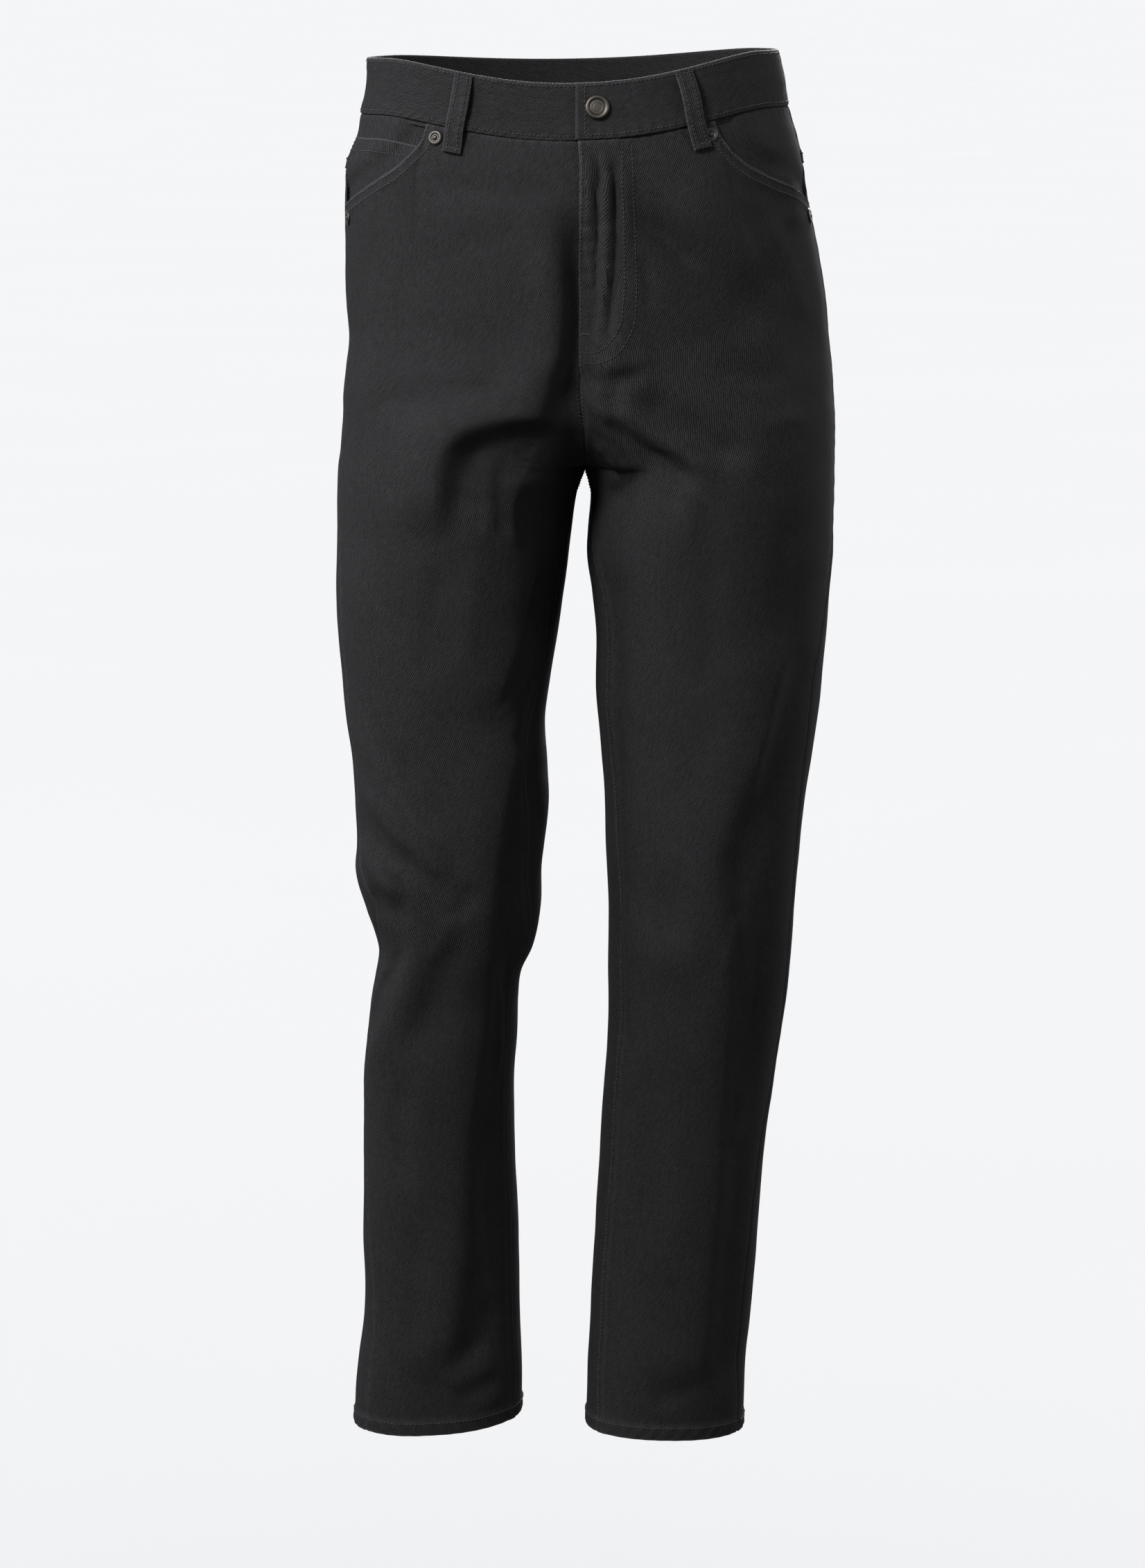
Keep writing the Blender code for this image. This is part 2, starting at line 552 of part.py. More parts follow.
def back_net(name):
    """The rows and columns of a back panel below its yoke."""
    side = SIDES[name]
    shares = np.array(BACK_COLUMNS)
    rows = np.array([d for d in PANEL_DROPS if d >= YOKE_SIDE])
    top = YOKE_SIDE + (YOKE_CENTRE - YOKE_SIDE) * shares + 2 * SEAM_HALF_GAP
    share_down = np.clip((rows - rows[0]) / (STRAIGHT_ROWS - rows[0]), 0, 1)
    drop = top[None, :] + (STRAIGHT_ROWS - top[None, :]) * share_down[:, None]
    drop = np.where(rows[:, None] > STRAIGHT_ROWS, rows[:, None], drop)
    return drop, back_turns(side, drop, shares)


def back_turns(side, drop, shares):
    """The turns of the columns of a back piece, from the side seam to the centre seam and the inseam."""
    inner, outer = side.seam_turns(drop)
    inner = 360 + inner
    inner = np.where(drop <= CROTCH, side.turn_end(drop), inner)
    outer = outer + degrees_of(side, drop, outer, SEAM_HALF_GAP)
    inner = inner - np.where(drop <= CROTCH - 12, 0, degrees_of(side, drop, inner, SEAM_HALF_GAP))
    return outer + (inner - outer) * shares[None, :]


def yoke_net(name):
    side = SIDES[name]
    shares = np.array(BACK_COLUMNS)
    bottom = YOKE_SIDE + (YOKE_CENTRE - YOKE_SIDE) * shares
    down = np.array([0, 0.33, 0.66, 1.0])
    drop = PANEL_DROPS[0] + (bottom[None, :] - PANEL_DROPS[0]) * down[:, None]
    return drop, back_turns(side, drop, shares)


def sheet_mesh(name, outside, inside, flip=False, quads=None):
    """A closed cloth wall from its outside and inside points, given as rows and columns in millimetres."""
    rows, columns = outside.shape[:2]
    verts = np.concatenate([outside.reshape(-1, 3), inside.reshape(-1, 3)]) * MM
    under = rows * columns
    faces = []
    for r in range(rows - 1):
        for c in range(columns - 1):
            a = r * columns + c
            b, d, e = a + 1, a + columns, a + columns + 1
            faces += [(a, d, e), (a, e, b)]
            faces += [(under + a, under + e, under + d), (under + a, under + b, under + e)]
    ring = [c for c in range(columns)]
    ring += [r * columns + columns - 1 for r in range(1, rows)]
    ring += [(rows - 1) * columns + c for c in range(columns - 2, -1, -1)]
    ring += [r * columns for r in range(rows - 2, 0, -1)]
    for k, a in enumerate(ring):
        b = ring[(k + 1) % len(ring)]
        faces += [(a, b, under + b), (a, under + b, under + a)]
    return closed_object(name, verts, faces)


def closed_object(name, verts, faces):
    """An object whose faces point outwards, from its points in metres."""
    mesh = bpy.data.meshes.new(name)
    mesh.from_pydata([tuple(v) for v in verts], [], [tuple(f) for f in faces])
    work = bmesh.new()
    work.from_mesh(mesh)
    bmesh.ops.recalc_face_normals(work, faces=work.faces)
    if work.calc_volume(signed=True) < 0:
        bmesh.ops.reverse_faces(work, faces=work.faces)
    work.to_mesh(mesh)
    work.free()
    mesh.update()
    obj = bpy.data.objects.new(name, mesh)
    COLLECTION.objects.link(obj)
    return obj


def coat(obj, colour, roughness, metallic=0.0):
    """Give an object a material of its own."""
    material = bpy.data.materials.new(obj.name)
    material.use_nodes = True
    shader = material.node_tree.nodes["Principled BSDF"]
    shader.inputs["Base Color"].default_value = (*colour, 1)
    shader.inputs["Roughness"].default_value = roughness
    shader.inputs["Metallic"].default_value = metallic
    obj.data.materials.append(material)


def fly_lift(name, drop, turn):
    """How far the left front's fly stands out from the form, and the right front's edge lies back under it."""
    side = SIDES[name]
    if name == "right":
        lift = 0 * drop
        lift[:, -1] = -0.9
        lift[:, -2] = -0.5
        return lift * (1 - ease((drop - 166) / 20))
    from_edge = np.abs(turn + side.turn_end(drop)) * 2.6
    return FLY_LIFT * (1 - ease((from_edge - 14) / 24)) * (1 - ease((drop - 174) / (FLY_BOTTOM - 174)))


def hem_thickness(drop):
    """The cloth is turned up and doubled at the hem."""
    return DENIM * (1 + 0.8 * ease((drop - 979) / 5))


def layer(points, normals, out):
    return points + normals * np.asarray(out)[..., None]


def build_panels():
    made = {}
    for name, side in SIDES.items():
        for kind, net in (("front", front_net), ("back", back_net), ("yoke", yoke_net)):
            drop, turn = net(name)
            points, normals = surface(side, drop, turn)
            lift = fly_lift(name, drop, turn) if kind == "front" else 0 * drop
            outside = layer(points, normals, lift)
            inside = layer(points, normals, lift - hem_thickness(drop))
            made[kind + "_" + name] = (outside, normals)
            coat(sheet_mesh(kind + "_" + name, outside, inside), (0.016, 0.016, 0.018), 0.85)
    return made


def scoop_line(name):
    """The front pocket's edge as points in space."""
    side = SIDES[name]
    turns = table_column(SCOOP_ROWS, SCOOP_COLUMNS, name + "_turn")
    drops = table_column(SCOOP_ROWS, SCOOP_COLUMNS, "drop")
    points, _ = surface(side, drops, turns)
    return polyline(points, 2.0)


FACING_DROPS = (20.3, 28, 37, 46, 54, 62, 70, 78, 86, 94, 102)
FACING_SHARES = (0, 0.07, 0.2, 0.34, 0.48, 0.62, 0.76, 0.88, 1)
FACING_UNDER = 12.0


def build_facings():
    """The cloth behind the front pockets' openings, and the small pocket on the wearer's right one."""
    for name, side in SIDES.items():
        deep = 3.5 if name == "right" else 2.2
        drops = np.array(FACING_DROPS)
        turns = table_column(SCOOP_ROWS, SCOOP_COLUMNS, name + "_turn")
        knots = table_column(SCOOP_ROWS, SCOOP_COLUMNS, "drop")
        edge = np.interp(drops, knots, turns)
        edge = edge - degrees_of(side, drops, edge, FACING_UNDER)
        _, outer = side.seam_turns(drops)
        outer = outer - degrees_of(side, drops, outer, SEAM_HALF_GAP)
        drop = np.repeat(drops[:, None], len(FACING_SHARES), axis=1)
        turn = outer[:, None] + (edge - outer)[:, None] * np.array(FACING_SHARES)[None, :]
        points, normals = surface(side, drop, turn)
        line = scoop_line(name)
        _, away = nearest_on(line, points.reshape(-1, 3))
        gap = np.linalg.norm(away, axis=1).reshape(drop.shape)
        seen = turn > np.interp(drop, knots, turns)
        seen = seen & (drop < SCOOP_END)
        sunk = np.where(seen, deep * (1 - ease((gap - 8) / 14)), deep)
        outside = layer(points, normals, -sunk)
        inside = layer(points, normals, -sunk - DENIM)
        coat(sheet_mesh("pocket_facing_" + name, outside, inside), (0.016, 0.016, 0.018), 0.85)
        if name == "right":
            rows, columns = slice(2, 10), slice(1, 9)
            base = layer(points, normals, -sunk + GAP)[rows, columns]
            face = layer(points, normals, -sunk + GAP + 1.0)[rows, columns]
            coat(sheet_mesh("coin_pocket", face, base), (0.018, 0.018, 0.020), 0.85)


def in_outline(outline, point):
    """Whether a point lies inside a closed outline, by counting the edges that it is left of."""
    inside = False
    x, y = point
    for k, (ax, ay) in enumerate(outline):
        bx, by = outline[k - 1]
        if (ay > y) != (by > y) and x < (bx - ax) * (y - ay) / (by - ay) + ax:
            inside = not inside
    return inside


def on_net(grid, column, row):
    """A point on the facets of a net, at a column and row that need not be whole."""
    c = min(int(column), grid.shape[1] - 2)
    r = min(int(row), grid.shape[0] - 2)
    u, v = column - c, row - r
    a, b = grid[r, c], grid[r, c + 1]
    d, e = grid[r + 1, c], grid[r + 1, c + 1]
    if v >= u:
        return a + (e - d) * u + (d - a) * v
    return a + (b - a) * u + (e - b) * v


def patch(name, grid, normals, outline, low, high):
    """A piece of cloth that lies on a panel: the panel's own facets inside an outline, moved out.

    The outline is in columns and rows of the panel's net, and low and high are how far its two faces lie out.
    """
    columns = [p[0] for p in outline]
    rows = [p[1] for p in outline]
    c0, c1 = int(min(columns)), math.ceil(max(columns))
    r0, r1 = int(min(rows)), math.ceil(max(rows))
    spots = [Vector(p) for p in outline]
    edges = [(k, (k + 1) % len(outline)) for k in range(len(outline))]

    def add_line(start, end):
        spots.append(Vector(start))
        spots.append(Vector(end))
        edges.append((len(spots) - 2, len(spots) - 1))

    for c in range(c0, c1 + 1):
        add_line((c, r0), (c, r1))
    for r in range(r0, r1 + 1):
        add_line((c0, r), (c1, r))
    for c in range(c0, c1):
        for r in range(r0, r1):
            add_line((c, r), (c + 1, r + 1))
    flat, _, faces, _, _, _ = delaunay_2d_cdt(spots, edges, [], 0, 1e-5)
    kept = []
    for face in faces:
        middle = sum((flat[k] for k in face), Vector((0, 0))) / len(face)
        if in_outline(outline, middle):
            kept.append(tuple(face))
    used = sorted({k for face in kept for k in face})
    place = {k: n for n, k in enumerate(used)}
    points = np.array([on_net(grid, flat[k][0], flat[k][1]) for k in used])
    ways = unit(np.array([on_net(normals, flat[k][0], flat[k][1]) for k in used]))
    verts = np.concatenate([points + ways * high, points + ways * low]) * MM
    under = len(used)
    solid_faces = []
    border = {}
    for face in kept:
        a, b, c = (place[k] for k in face)
        solid_faces += [(a, b, c), (under + a, under + c, under + b)]
        for s, e in ((a, b), (b, c), (c, a)):
            if (e, s) in border:
                del border[(e, s)]
            else:
                border[(s, e)] = True
    for s, e in border:
        solid_faces += [(s, under + s, under + e), (s, under + e, e)]
    return closed_object(name, verts, solid_faces)


def build_back_pockets(made):
    """Plain patch pockets with a pointed bottom, on the back panels."""
    outline = ((3, 1), (9, 1), (9, 7), (6, 8), (3, 7))
    for name in SIDES:
        grid, normals = made["back_" + name]
        obj = patch("back_pocket_" + name, grid, normals, outline, GAP + 0.05, GAP + 0.05 + DENIM)
        coat(obj, (0.018, 0.018, 0.020), 0.85)


BAND_STEP = 5.2
BAND_UNDER = 38.0
BAND_OUT = 0.8


def waist_point(drop, round_turn):
    """A point and normal of the waist. round_turn goes from the centre front by the wearer's left, in degrees."""
    drop, round_turn = np.broadcast_arrays(np.asarray(drop, float), np.asarray(round_turn, float))
    on_left = np.mod(round_turn, 360) <= 180
    left, left_normals = surface(SIDES["left"], drop, np.mod(round_turn, 360) - 90)
    right, right_normals = surface(SIDES["right"], drop, 270 - np.mod(round_turn, 360))
    pick = on_left[..., None]
    return np.where(pick, left, right), np.where(pick, left_normals, right_normals)


def build_waistband():
    """One strip right round, whose front end on the wearer's left lies over its other end."""
    under_turn = 15.0
    count = 76
    turns = np.linspace(-0.4, 360 + under_turn, count)
    drops = np.array([BAND_TOP, BAND_TOP + 1.5, -6.5, 6.5, WAIST_SEAM - 0.05])
    drop = np.repeat(drops[:, None], count, axis=1)
    turn = np.repeat(turns[None, :], len(drops), axis=0)
    points, normals = waist_point(drop, turn)
    out = BAND_OUT + 1.6 * (1 - ease((turn - 13) / 16)) - 1.6 * ease((turn - 334) / 20)
    outside = layer(points, normals, out)
    inside = layer(points, normals, out - BAND_CLOTH)
    outside[0] = layer(points, normals, out - 0.6)[0]
    inside[0] = layer(points, normals, out - BAND_CLOTH + 0.6)[0]
    coat(sheet_mesh("waistband", outside, inside), (0.016, 0.016, 0.018), 0.85)


# The belt loops: where their top and bottom ends stand, as round_turn in degrees.
LOOP_COLUMNS = ("name", "top", "bottom")
LOOP_ROWS = (
    ("belt_loop_front_left", 28.0, 31.0),
    ("belt_loop_back_left", 132.0, 131.0),
    ("belt_loop_back", 180.0, 180.0),
    ("belt_loop_back_right", 227.0, 228.0),
    ("belt_loop_front_right", 330.9, 328.6),
)
LOOP_WIDTH = 13.0
# The middle of the loop's cloth: how far down, and how far out.
LOOP_PATH = (
    (-18.6, 2.6), (-15.0, 2.8), (-10.0, 4.0), (-4.0, 4.8), (4.0, 5.1), (12.0, 5.0), (19.0, 4.6), (25.0, 3.9),
    (29.5, 2.9), (32.5, 2.4), (37.0, 2.1),
)


def loop_turns(centre, widths):
    """The round_turn of points that lie so many millimetres beside the middle of a loop."""
    beside = np.linspace(-10, 10, 81)
    line = waist_point(0.0, np.mean(centre) + beside)[0]
    lengths = np.append(0, np.cumsum(np.linalg.norm(np.diff(line, axis=0), axis=1)))
    return centre[:, None] + np.interp(widths, lengths - lengths[40], beside)[None, :]


def build_loops():
    for name, top, bottom in LOOP_ROWS:
        path = np.array(LOOP_PATH)
        along = unit(np.gradient(path, axis=0))
        across = np.stack([along[:, 1], -along[:, 0]], axis=1) * -1
        widths = np.linspace(-0.5, 0.5, 4) * LOOP_WIDTH
        layers = []
        for way in (1, -1):
            line = path + across * way * LOOP_CLOTH / 2
            drop = np.repeat(line[:, :1], len(widths), axis=1)
            centre = top + (bottom - top) * (path[:, 0] + 20) / 57
            turn = loop_turns(centre, widths)
            points, normals = waist_point(drop, turn)
            layers.append(layer(points, normals, np.repeat(line[:, 1:], len(widths), axis=1)))
        coat(sheet_mesh(name, layers[0], layers[1]), (0.018, 0.018, 0.020), 0.85)


def turned(name, profile, centre, axis, sides):
    """A round part from its profile of (radius, height) points, from the middle of its face to that of its base."""
    axis = Vector(axis).normalized()
    spin = axis.to_track_quat("Z", "Y")
    verts = []
    faces = []
    rings = []
    for radius, height in profile:
        if radius == 0:
            rings.append([len(verts)])
            verts.append((0, 0, height))
            continue
        rings.append(list(range(len(verts), len(verts) + sides)))
        for k in range(sides):
            angle = 2 * math.pi * k / sides
            verts.append((radius * math.cos(angle), radius * math.sin(angle), height))
    for one, two in zip(rings, rings[1:]):
        for k in range(sides):
            n = (k + 1) % sides
            if len(one) == 1:
                faces.append((one[0], two[k], two[n]))
            elif len(two) == 1:
                faces.append((one[k], two[0], one[n]))
            else:
                faces += [(one[k], two[k], two[n]), (one[k], two[n], one[n])]
    placed = [(Vector(centre) + spin @ Vector(v)) * MM for v in verts]
    return closed_object(name, placed, faces)


RIVET_PROFILE = ((0, 2.1), (2.3, 2.0), (3.4, 1.3), (4.6, 1.4), (5.5, 0.9), (5.6, 0.45), (0, 0.45))
BUTTON_PROFILE = (
    (0, 2.2), (2.8, 2.3), (5.4, 2.0), (6.1, 2.7), (7.3, 3.1), (8.3, 2.6), (8.6, 1.6), (7.8, 0.6), (0, 0.6),
)
METAL = (0.055, 0.055, 0.06)


def build_metal():
    """The button and the rivets at the ends of the front pockets' openings."""
    points, normals = waist_point(-2.0, 3.8)
    middle = points + normals * (BAND_OUT + 1.6)
    coat(turned("button", BUTTON_PROFILE, middle, normals, 24), METAL, 0.4, 1.0)
    for name, side in SIDES.items():
        turns = table_column(SCOOP_ROWS, SCOOP_COLUMNS, name + "_turn")
        places = (("upper", 29.0, turns[0] - (2.4 if name == "left" else 3.7)), ("lower", SCOOP_END + 9.0, turns[-1] - 4.5))
        for which, drop, turn in places:
            points, normals = surface(side, drop, turn)
            coat(turned("rivet_%s_%s" % (which, name), RIVET_PROFILE, points, normals, 14), METAL, 0.4, 1.0)


def build_zip():
    """The zip's tape, plain and closed, behind the fly."""
    drops = np.linspace(22, 157, 10)
    turns = np.array([-0.4, 0.8, 2.0, 3.6, 5.6, 7.8])
    drop = np.repeat(drops[:, None], len(turns), axis=1)
    turn = turns[None, :] + 0 * drop
    left, left_normals = surface(SIDES["left"], drop, turn - 90)
    right, right_normals = surface(SIDES["right"], drop, -90 - turn)
    pick = (turn >= 0)[..., None]
    points, normals = np.where(pick, left, right), np.where(pick, left_normals, right_normals)
    back = 2.6 + 2.2 * ease((drop - 40) / 40)
    outside = layer(points, normals, -back)
    inside = layer(points, normals, -back - 1.0)
    coat(sheet_mesh("zip_tape", outside, inside), (0.012, 0.012, 0.013), 0.9)


for thing in list(bpy.data.objects):
    bpy.data.objects.remove(thing, do_unlink=True)
COLLECTION = bpy.data.collections.new("mom_jeans")
bpy.context.scene.collection.children.link(COLLECTION)

panels = build_panels()
build_facings()
build_back_pockets(panels)
build_waistband()
build_loops()
build_metal()
build_zip()
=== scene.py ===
"""Black high-waisted mom jeans: the looks.

The garment's form is worked out as the solids' is, from the same tables, and then drawn with far more points:
each panel is a thin cloth wall with its folds, seams, puckers and turned edges, and the stitches lie on it.

Sizes are in millimetres until a mesh is made, and then in metres. +Z is up, the front faces -Y, and the
wearer's right is at -X.
"""

import json
import math

import bpy
import numpy as np
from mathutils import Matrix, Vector

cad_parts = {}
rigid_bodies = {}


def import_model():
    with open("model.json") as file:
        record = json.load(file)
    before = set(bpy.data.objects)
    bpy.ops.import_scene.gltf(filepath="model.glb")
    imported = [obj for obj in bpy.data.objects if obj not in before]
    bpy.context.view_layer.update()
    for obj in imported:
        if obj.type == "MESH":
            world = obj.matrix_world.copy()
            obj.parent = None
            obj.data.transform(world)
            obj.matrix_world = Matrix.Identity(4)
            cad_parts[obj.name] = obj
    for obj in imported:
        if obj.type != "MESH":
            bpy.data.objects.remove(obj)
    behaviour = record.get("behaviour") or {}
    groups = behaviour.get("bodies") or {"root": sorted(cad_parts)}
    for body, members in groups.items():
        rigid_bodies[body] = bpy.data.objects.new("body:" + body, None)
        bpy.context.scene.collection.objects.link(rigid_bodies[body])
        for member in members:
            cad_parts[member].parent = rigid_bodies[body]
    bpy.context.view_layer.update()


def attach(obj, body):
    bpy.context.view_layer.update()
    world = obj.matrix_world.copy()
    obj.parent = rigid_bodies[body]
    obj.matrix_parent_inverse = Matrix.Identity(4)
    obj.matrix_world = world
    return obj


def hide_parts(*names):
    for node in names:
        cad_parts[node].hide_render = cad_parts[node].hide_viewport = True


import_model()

MM = 0.001

# Cloth, in millimetres.
DENIM = 1.2
BAND_CLOTH = 2.4
LOOP_CLOTH = 1.8
GAP = 0.3
SEAM_HALF_GAP = 0.06
# How far the waistband's cloth stands out, and how far the pocket's facing reaches under the front.
BAND_OUT = 0.8
FACING_UNDER = 12.0

# Levels of the outer side line below the origin.
BAND_TOP = -20.0
WAIST_SEAM = 20.0
CROTCH = 275.0
HEM = 994.0

# Roughly how long one degree of turn is: round the hips, at the fly, at the front pocket and round the waist.
HIP_DEGREE, FLY_DEGREE, SCOOP_DEGREE, WAIST_DEGREE = 2.4, 2.6, 2.7, 2.2

# How square the rings are: 1 is an ellipse, and less is squarer.
SQUARENESS = 0.88

# The form above the crotch. drop is how far the outer side line lies below the origin, front_dip and back_dip
# how much lower the row runs at the centre front and back, split how far the row has parted into two legs,
# from 0 for one ring round the hips to 1 at the crotch, and the rest the places of its widest points.
HIP_COLUMNS = ("drop", "front_dip", "back_dip", "split", "middle", "right", "left", "front", "back")
HIP_ROWS = (
    (-20, 19, 6, 0.00, -1, -151, 141, -84, 84),
    (0, 19, 6, 0.00, -1, -152, 146, -88, 87),
    (20, 19, 6, 0.00, -1, -156, 149, -92, 92),
    (36, 19, 7, 0.00, 0, -159, 154, -96, 97),
    (50, 19, 8, 0.00, 0, -165, 158, -99, 102),
    (80, 19, 12, 0.00, 0, -168, 163, -104, 112),
    (120, 20, 16, 0.00, 0, -168, 171, -107, 122),
    (160, 20, 20, 0.00, 0, -168, 178, -108, 128),
    (185, 20, 23, 0.12, 0, -166, 180, -108, 129),
    (205, 20, 24, 0.30, 1, -168, 182, -108, 128),
    (223, 20, 24, 0.50, 2, -170, 183, -108, 126),
    (239, 18, 21, 0.71, 3, -170, 184, -108, 124),
    (252, 14, 16, 0.87, 4, -171, 184, -107, 122),
    (264, 8, 9, 0.962, 4, -172, 184, -107, 120),
    (275, 0, 0, 1.00, 4, -174, 184, -107, 118),
)

# The two legs below the crotch. inner and outer are the sides of the leg, as the front view shows them, and
# lift is how much higher the row runs at the inner side.
LEG_COLUMNS = ("drop", "lift", "inner", "outer", "front", "back")
RIGHT_LEG_ROWS = (
    (292, 0, -1, -175, -107, 114),
    (320, 0, -5, -175, -106, 106),
    (366, 0, -11, -176, -104, 93),
    (397, 0, -16, -175, -102, 84),
    (427, 0, -21, -172, -101, 76),
    (458, 0, -25, -169, -100, 69),
    (488, 0, -23, -165, -99, 62),
    (519, 0, -22, -163, -98, 55),
    (550, 0, -25, -162, -96, 50),
    (566, 0, -27, -163, -95, 48),
    (596, 0, -28, -155, -91, 45),
    (627, 0, -34, -146, -84, 46),
    (643, 0, -41, -148, -79, 48),
    (665, 0, -44, -152, -73, 52),
    (690, 0, -45, -155, -68, 57),
    (720, 0, -47, -158, -62, 61),
    (783, 1, -47, -159, -51, 67),
    (846, 2, -45, -160, -42, 72),
    (909, 4, -44, -160, -35, 76),
    (950, 6, -43, -165, -31, 78),
    (994, 9, -43, -168, -28, 80),
)
LEFT_LEG_ROWS = (
    (292, 0, 8, 184, -107, 114),
    (321, 0, 6, 183, -106, 106),
    (336, 0, 5, 183, -105, 102),
    (366, 0, 9, 181, -103, 95),
    (397, 0, 12, 179, -101, 88),
    (442, 0, 12, 175, -98, 78),
    (473, 0, 15, 171, -96, 71),
    (504, 0, 18, 166, -94, 65),
    (535, 0, 19, 162, -92, 60),
    (565, 0, 20, 159, -90, 56),
    (596, 0, 21, 157, -87, 54),
    (643, 0, 21, 154, -80, 54),
    (690, 0, 21, 148, -72, 56),
    (736, 0, 18, 142, -64, 59),
    (783, 0, 15, 137, -57, 61),
    (846, 0, 11, 133, -49, 64),
    (909, 1, 8, 128, -43, 66),
    (950, 1, 6, 124, -40, 68),
    (994, 2, 5, 122, -38, 69),
)

# How far the side seam and the inseam lie in front of the leg's outermost and innermost lines, in degrees.
SEAM_COLUMNS = ("drop", "right_side", "right_inseam", "left_side", "left_inseam")
SEAM_ROWS = (
    (-20, 6, 0, 5, 0),
    (200, 8, 0, 5, 0),
    (275, 11, 0, 6, 0),
    (295, 13, 12, 6, 8),
    (322, 16, 19, 9, 17),
    (361, 20, 16, 15, 27),
    (411, 21, 20, 25, 27),
    (487, 19, 38, 25, 25),
    (551, 19, 32, 20, 26),
    (584, 32, 28, 18, 27),
    (625, 17, 22, 19, 28),
    (690, 13, 20, 13, 30),
    (780, 17, 22, 21, 32),
    (874, 30, 23, 30, 31),
    (994, 35, 24, 26, 33),
)

# The waist is tilted: this much higher for each millimetre towards the wearer's left, fading out below.
WAIST_TILT = 0.02
TILT_ENDS = 130.0


def table_column(rows, columns, name):
    """One named column of a table, as an array."""
    return np.array([row[columns.index(name)] for row in rows], float)


def even_slopes(knots, values):
    """Slopes for a curve that never runs past its knots: flat wherever a neighbouring stretch is flat."""
    steps = np.diff(values) / np.diff(knots)
    before, after = steps[:-1], steps[1:]
    same_way = before * after > 0
    both = np.where(same_way, before + after, 1)
    inner = np.where(same_way, 2 * before * after / both, 0)
    return np.concatenate([steps[:1], inner, steps[-1:]])


def smooth(knots, values, at, even=False):
    """A smooth curve through a table's column: cubic between the knots, with the slopes of its neighbours."""
    slopes = even_slopes(knots, values) if even else np.gradient(values, knots)
    at = np.clip(at, knots[0], knots[-1])
    i = np.clip(np.searchsorted(knots, at, side="right") - 1, 0, len(knots) - 2)
    width = knots[i + 1] - knots[i]
    t = (at - knots[i]) / width
    start = values[i] * (1 + 2 * t) * (1 - t) ** 2 + slopes[i] * width * t * (1 - t) ** 2
    end = values[i + 1] * t * t * (3 - 2 * t) + slopes[i + 1] * width * t * t * (t - 1)
    return start + end


def ease(t):
    """0 below 0, 1 above 1, and smooth between."""
    t = np.clip(t, 0, 1)
    return t * t * (3 - 2 * t)


def bell(distance, width):
    """1 at a line, and fading out on both sides of it."""
    return np.exp(-((distance / width) ** 2))


def along_line(at, knots, values):
    """The rows of an array read at places between its knots."""
    return np.stack([np.interp(at, knots, values[:, k]) for k in range(values.shape[1])], axis=-1)


class Side:
    """The form of one half of the garment: the wearer's right or left."""

    def __init__(self, name):
        self.name = name
        self.sign = -1 if name == "right" else 1
        legs = RIGHT_LEG_ROWS if name == "right" else LEFT_LEG_ROWS
        hip = {c: table_column(HIP_ROWS, HIP_COLUMNS, c) for c in HIP_COLUMNS}
        leg = {c: table_column(legs, LEG_COLUMNS, c) for c in LEG_COLUMNS}
        self.drops = np.concatenate([hip["drop"], leg["drop"]])
        self.columns = {
            "front_dip": np.concatenate([hip["front_dip"], -leg["lift"]]),
            "back_dip": np.concatenate([hip["back_dip"], -leg["lift"]]),
            "split": np.concatenate([hip["split"], np.ones(len(legs))]),
            "inner": np.concatenate([hip["middle"], leg["inner"]]),
            "outer": np.concatenate([hip[name], leg["outer"]]),
            "front": np.concatenate([hip["front"], leg["front"]]),
            "back": np.concatenate([hip["back"], leg["back"]]),
        }
        self.seam_drops = table_column(SEAM_ROWS, SEAM_COLUMNS, "drop")
        self.side_seam = table_column(SEAM_ROWS, SEAM_COLUMNS, name + "_side")
        self.inseam = table_column(SEAM_ROWS, SEAM_COLUMNS, name + "_inseam")

    def row(self, column, drop):
        even = column in ("split", "front_dip", "back_dip")
        return smooth(self.drops, self.columns[column], drop, even)

    def turn_end(self, drop):
        """The degrees from the outer side line to the row's end: 90 round the hips, 180 round a leg."""
        split = np.clip(self.row("split", drop), 0, 1)
        return np.degrees(np.arccos(-(split ** (1 / SQUARENESS))))

    def seam_turns(self, drop):
        """Where the front panel begins and ends: at the inseam or centre front, and at the side."""
        return (
            -self.turn_end(drop) + smooth(self.seam_drops, self.inseam, drop),
            -smooth(self.seam_drops, self.side_seam, drop),
        )

    def points(self, drop, turn):
        """Points of the form. turn is the angle round the row, 0 at the outer side and minus in front."""
        drop, turn = np.broadcast_arrays(np.asarray(drop, float), np.asarray(turn, float))
        inner, outer, split = (self.row(c, drop) for c in ("inner", "outer", "split"))
        split = np.clip(split, 0, 1)
        front, back = self.row("front", drop), self.row("back", drop)
        middle = inner + (outer - inner) * split / (1 + split)
        angle = np.radians(turn)
        across, along = np.cos(angle), np.sin(angle)
        x = middle + (outer - middle) * np.sign(across) * np.abs(across) ** SQUARENESS
        y = (front + back) / 2 + (back - front) / 2 * np.sign(along) * np.abs(along) ** SQUARENESS
        round_to_end = np.abs((turn + 180) % 360 - 180) / self.turn_end(drop)
        dip = np.where(along < 0, self.row("front_dip", drop), self.row("back_dip", drop))
        z = -drop - dip * ease((round_to_end - 0.3) / 0.7)
        z = z + WAIST_TILT * x * (1 - ease(drop / TILT_ENDS))
        return np.stack([x, y, z], axis=-1)


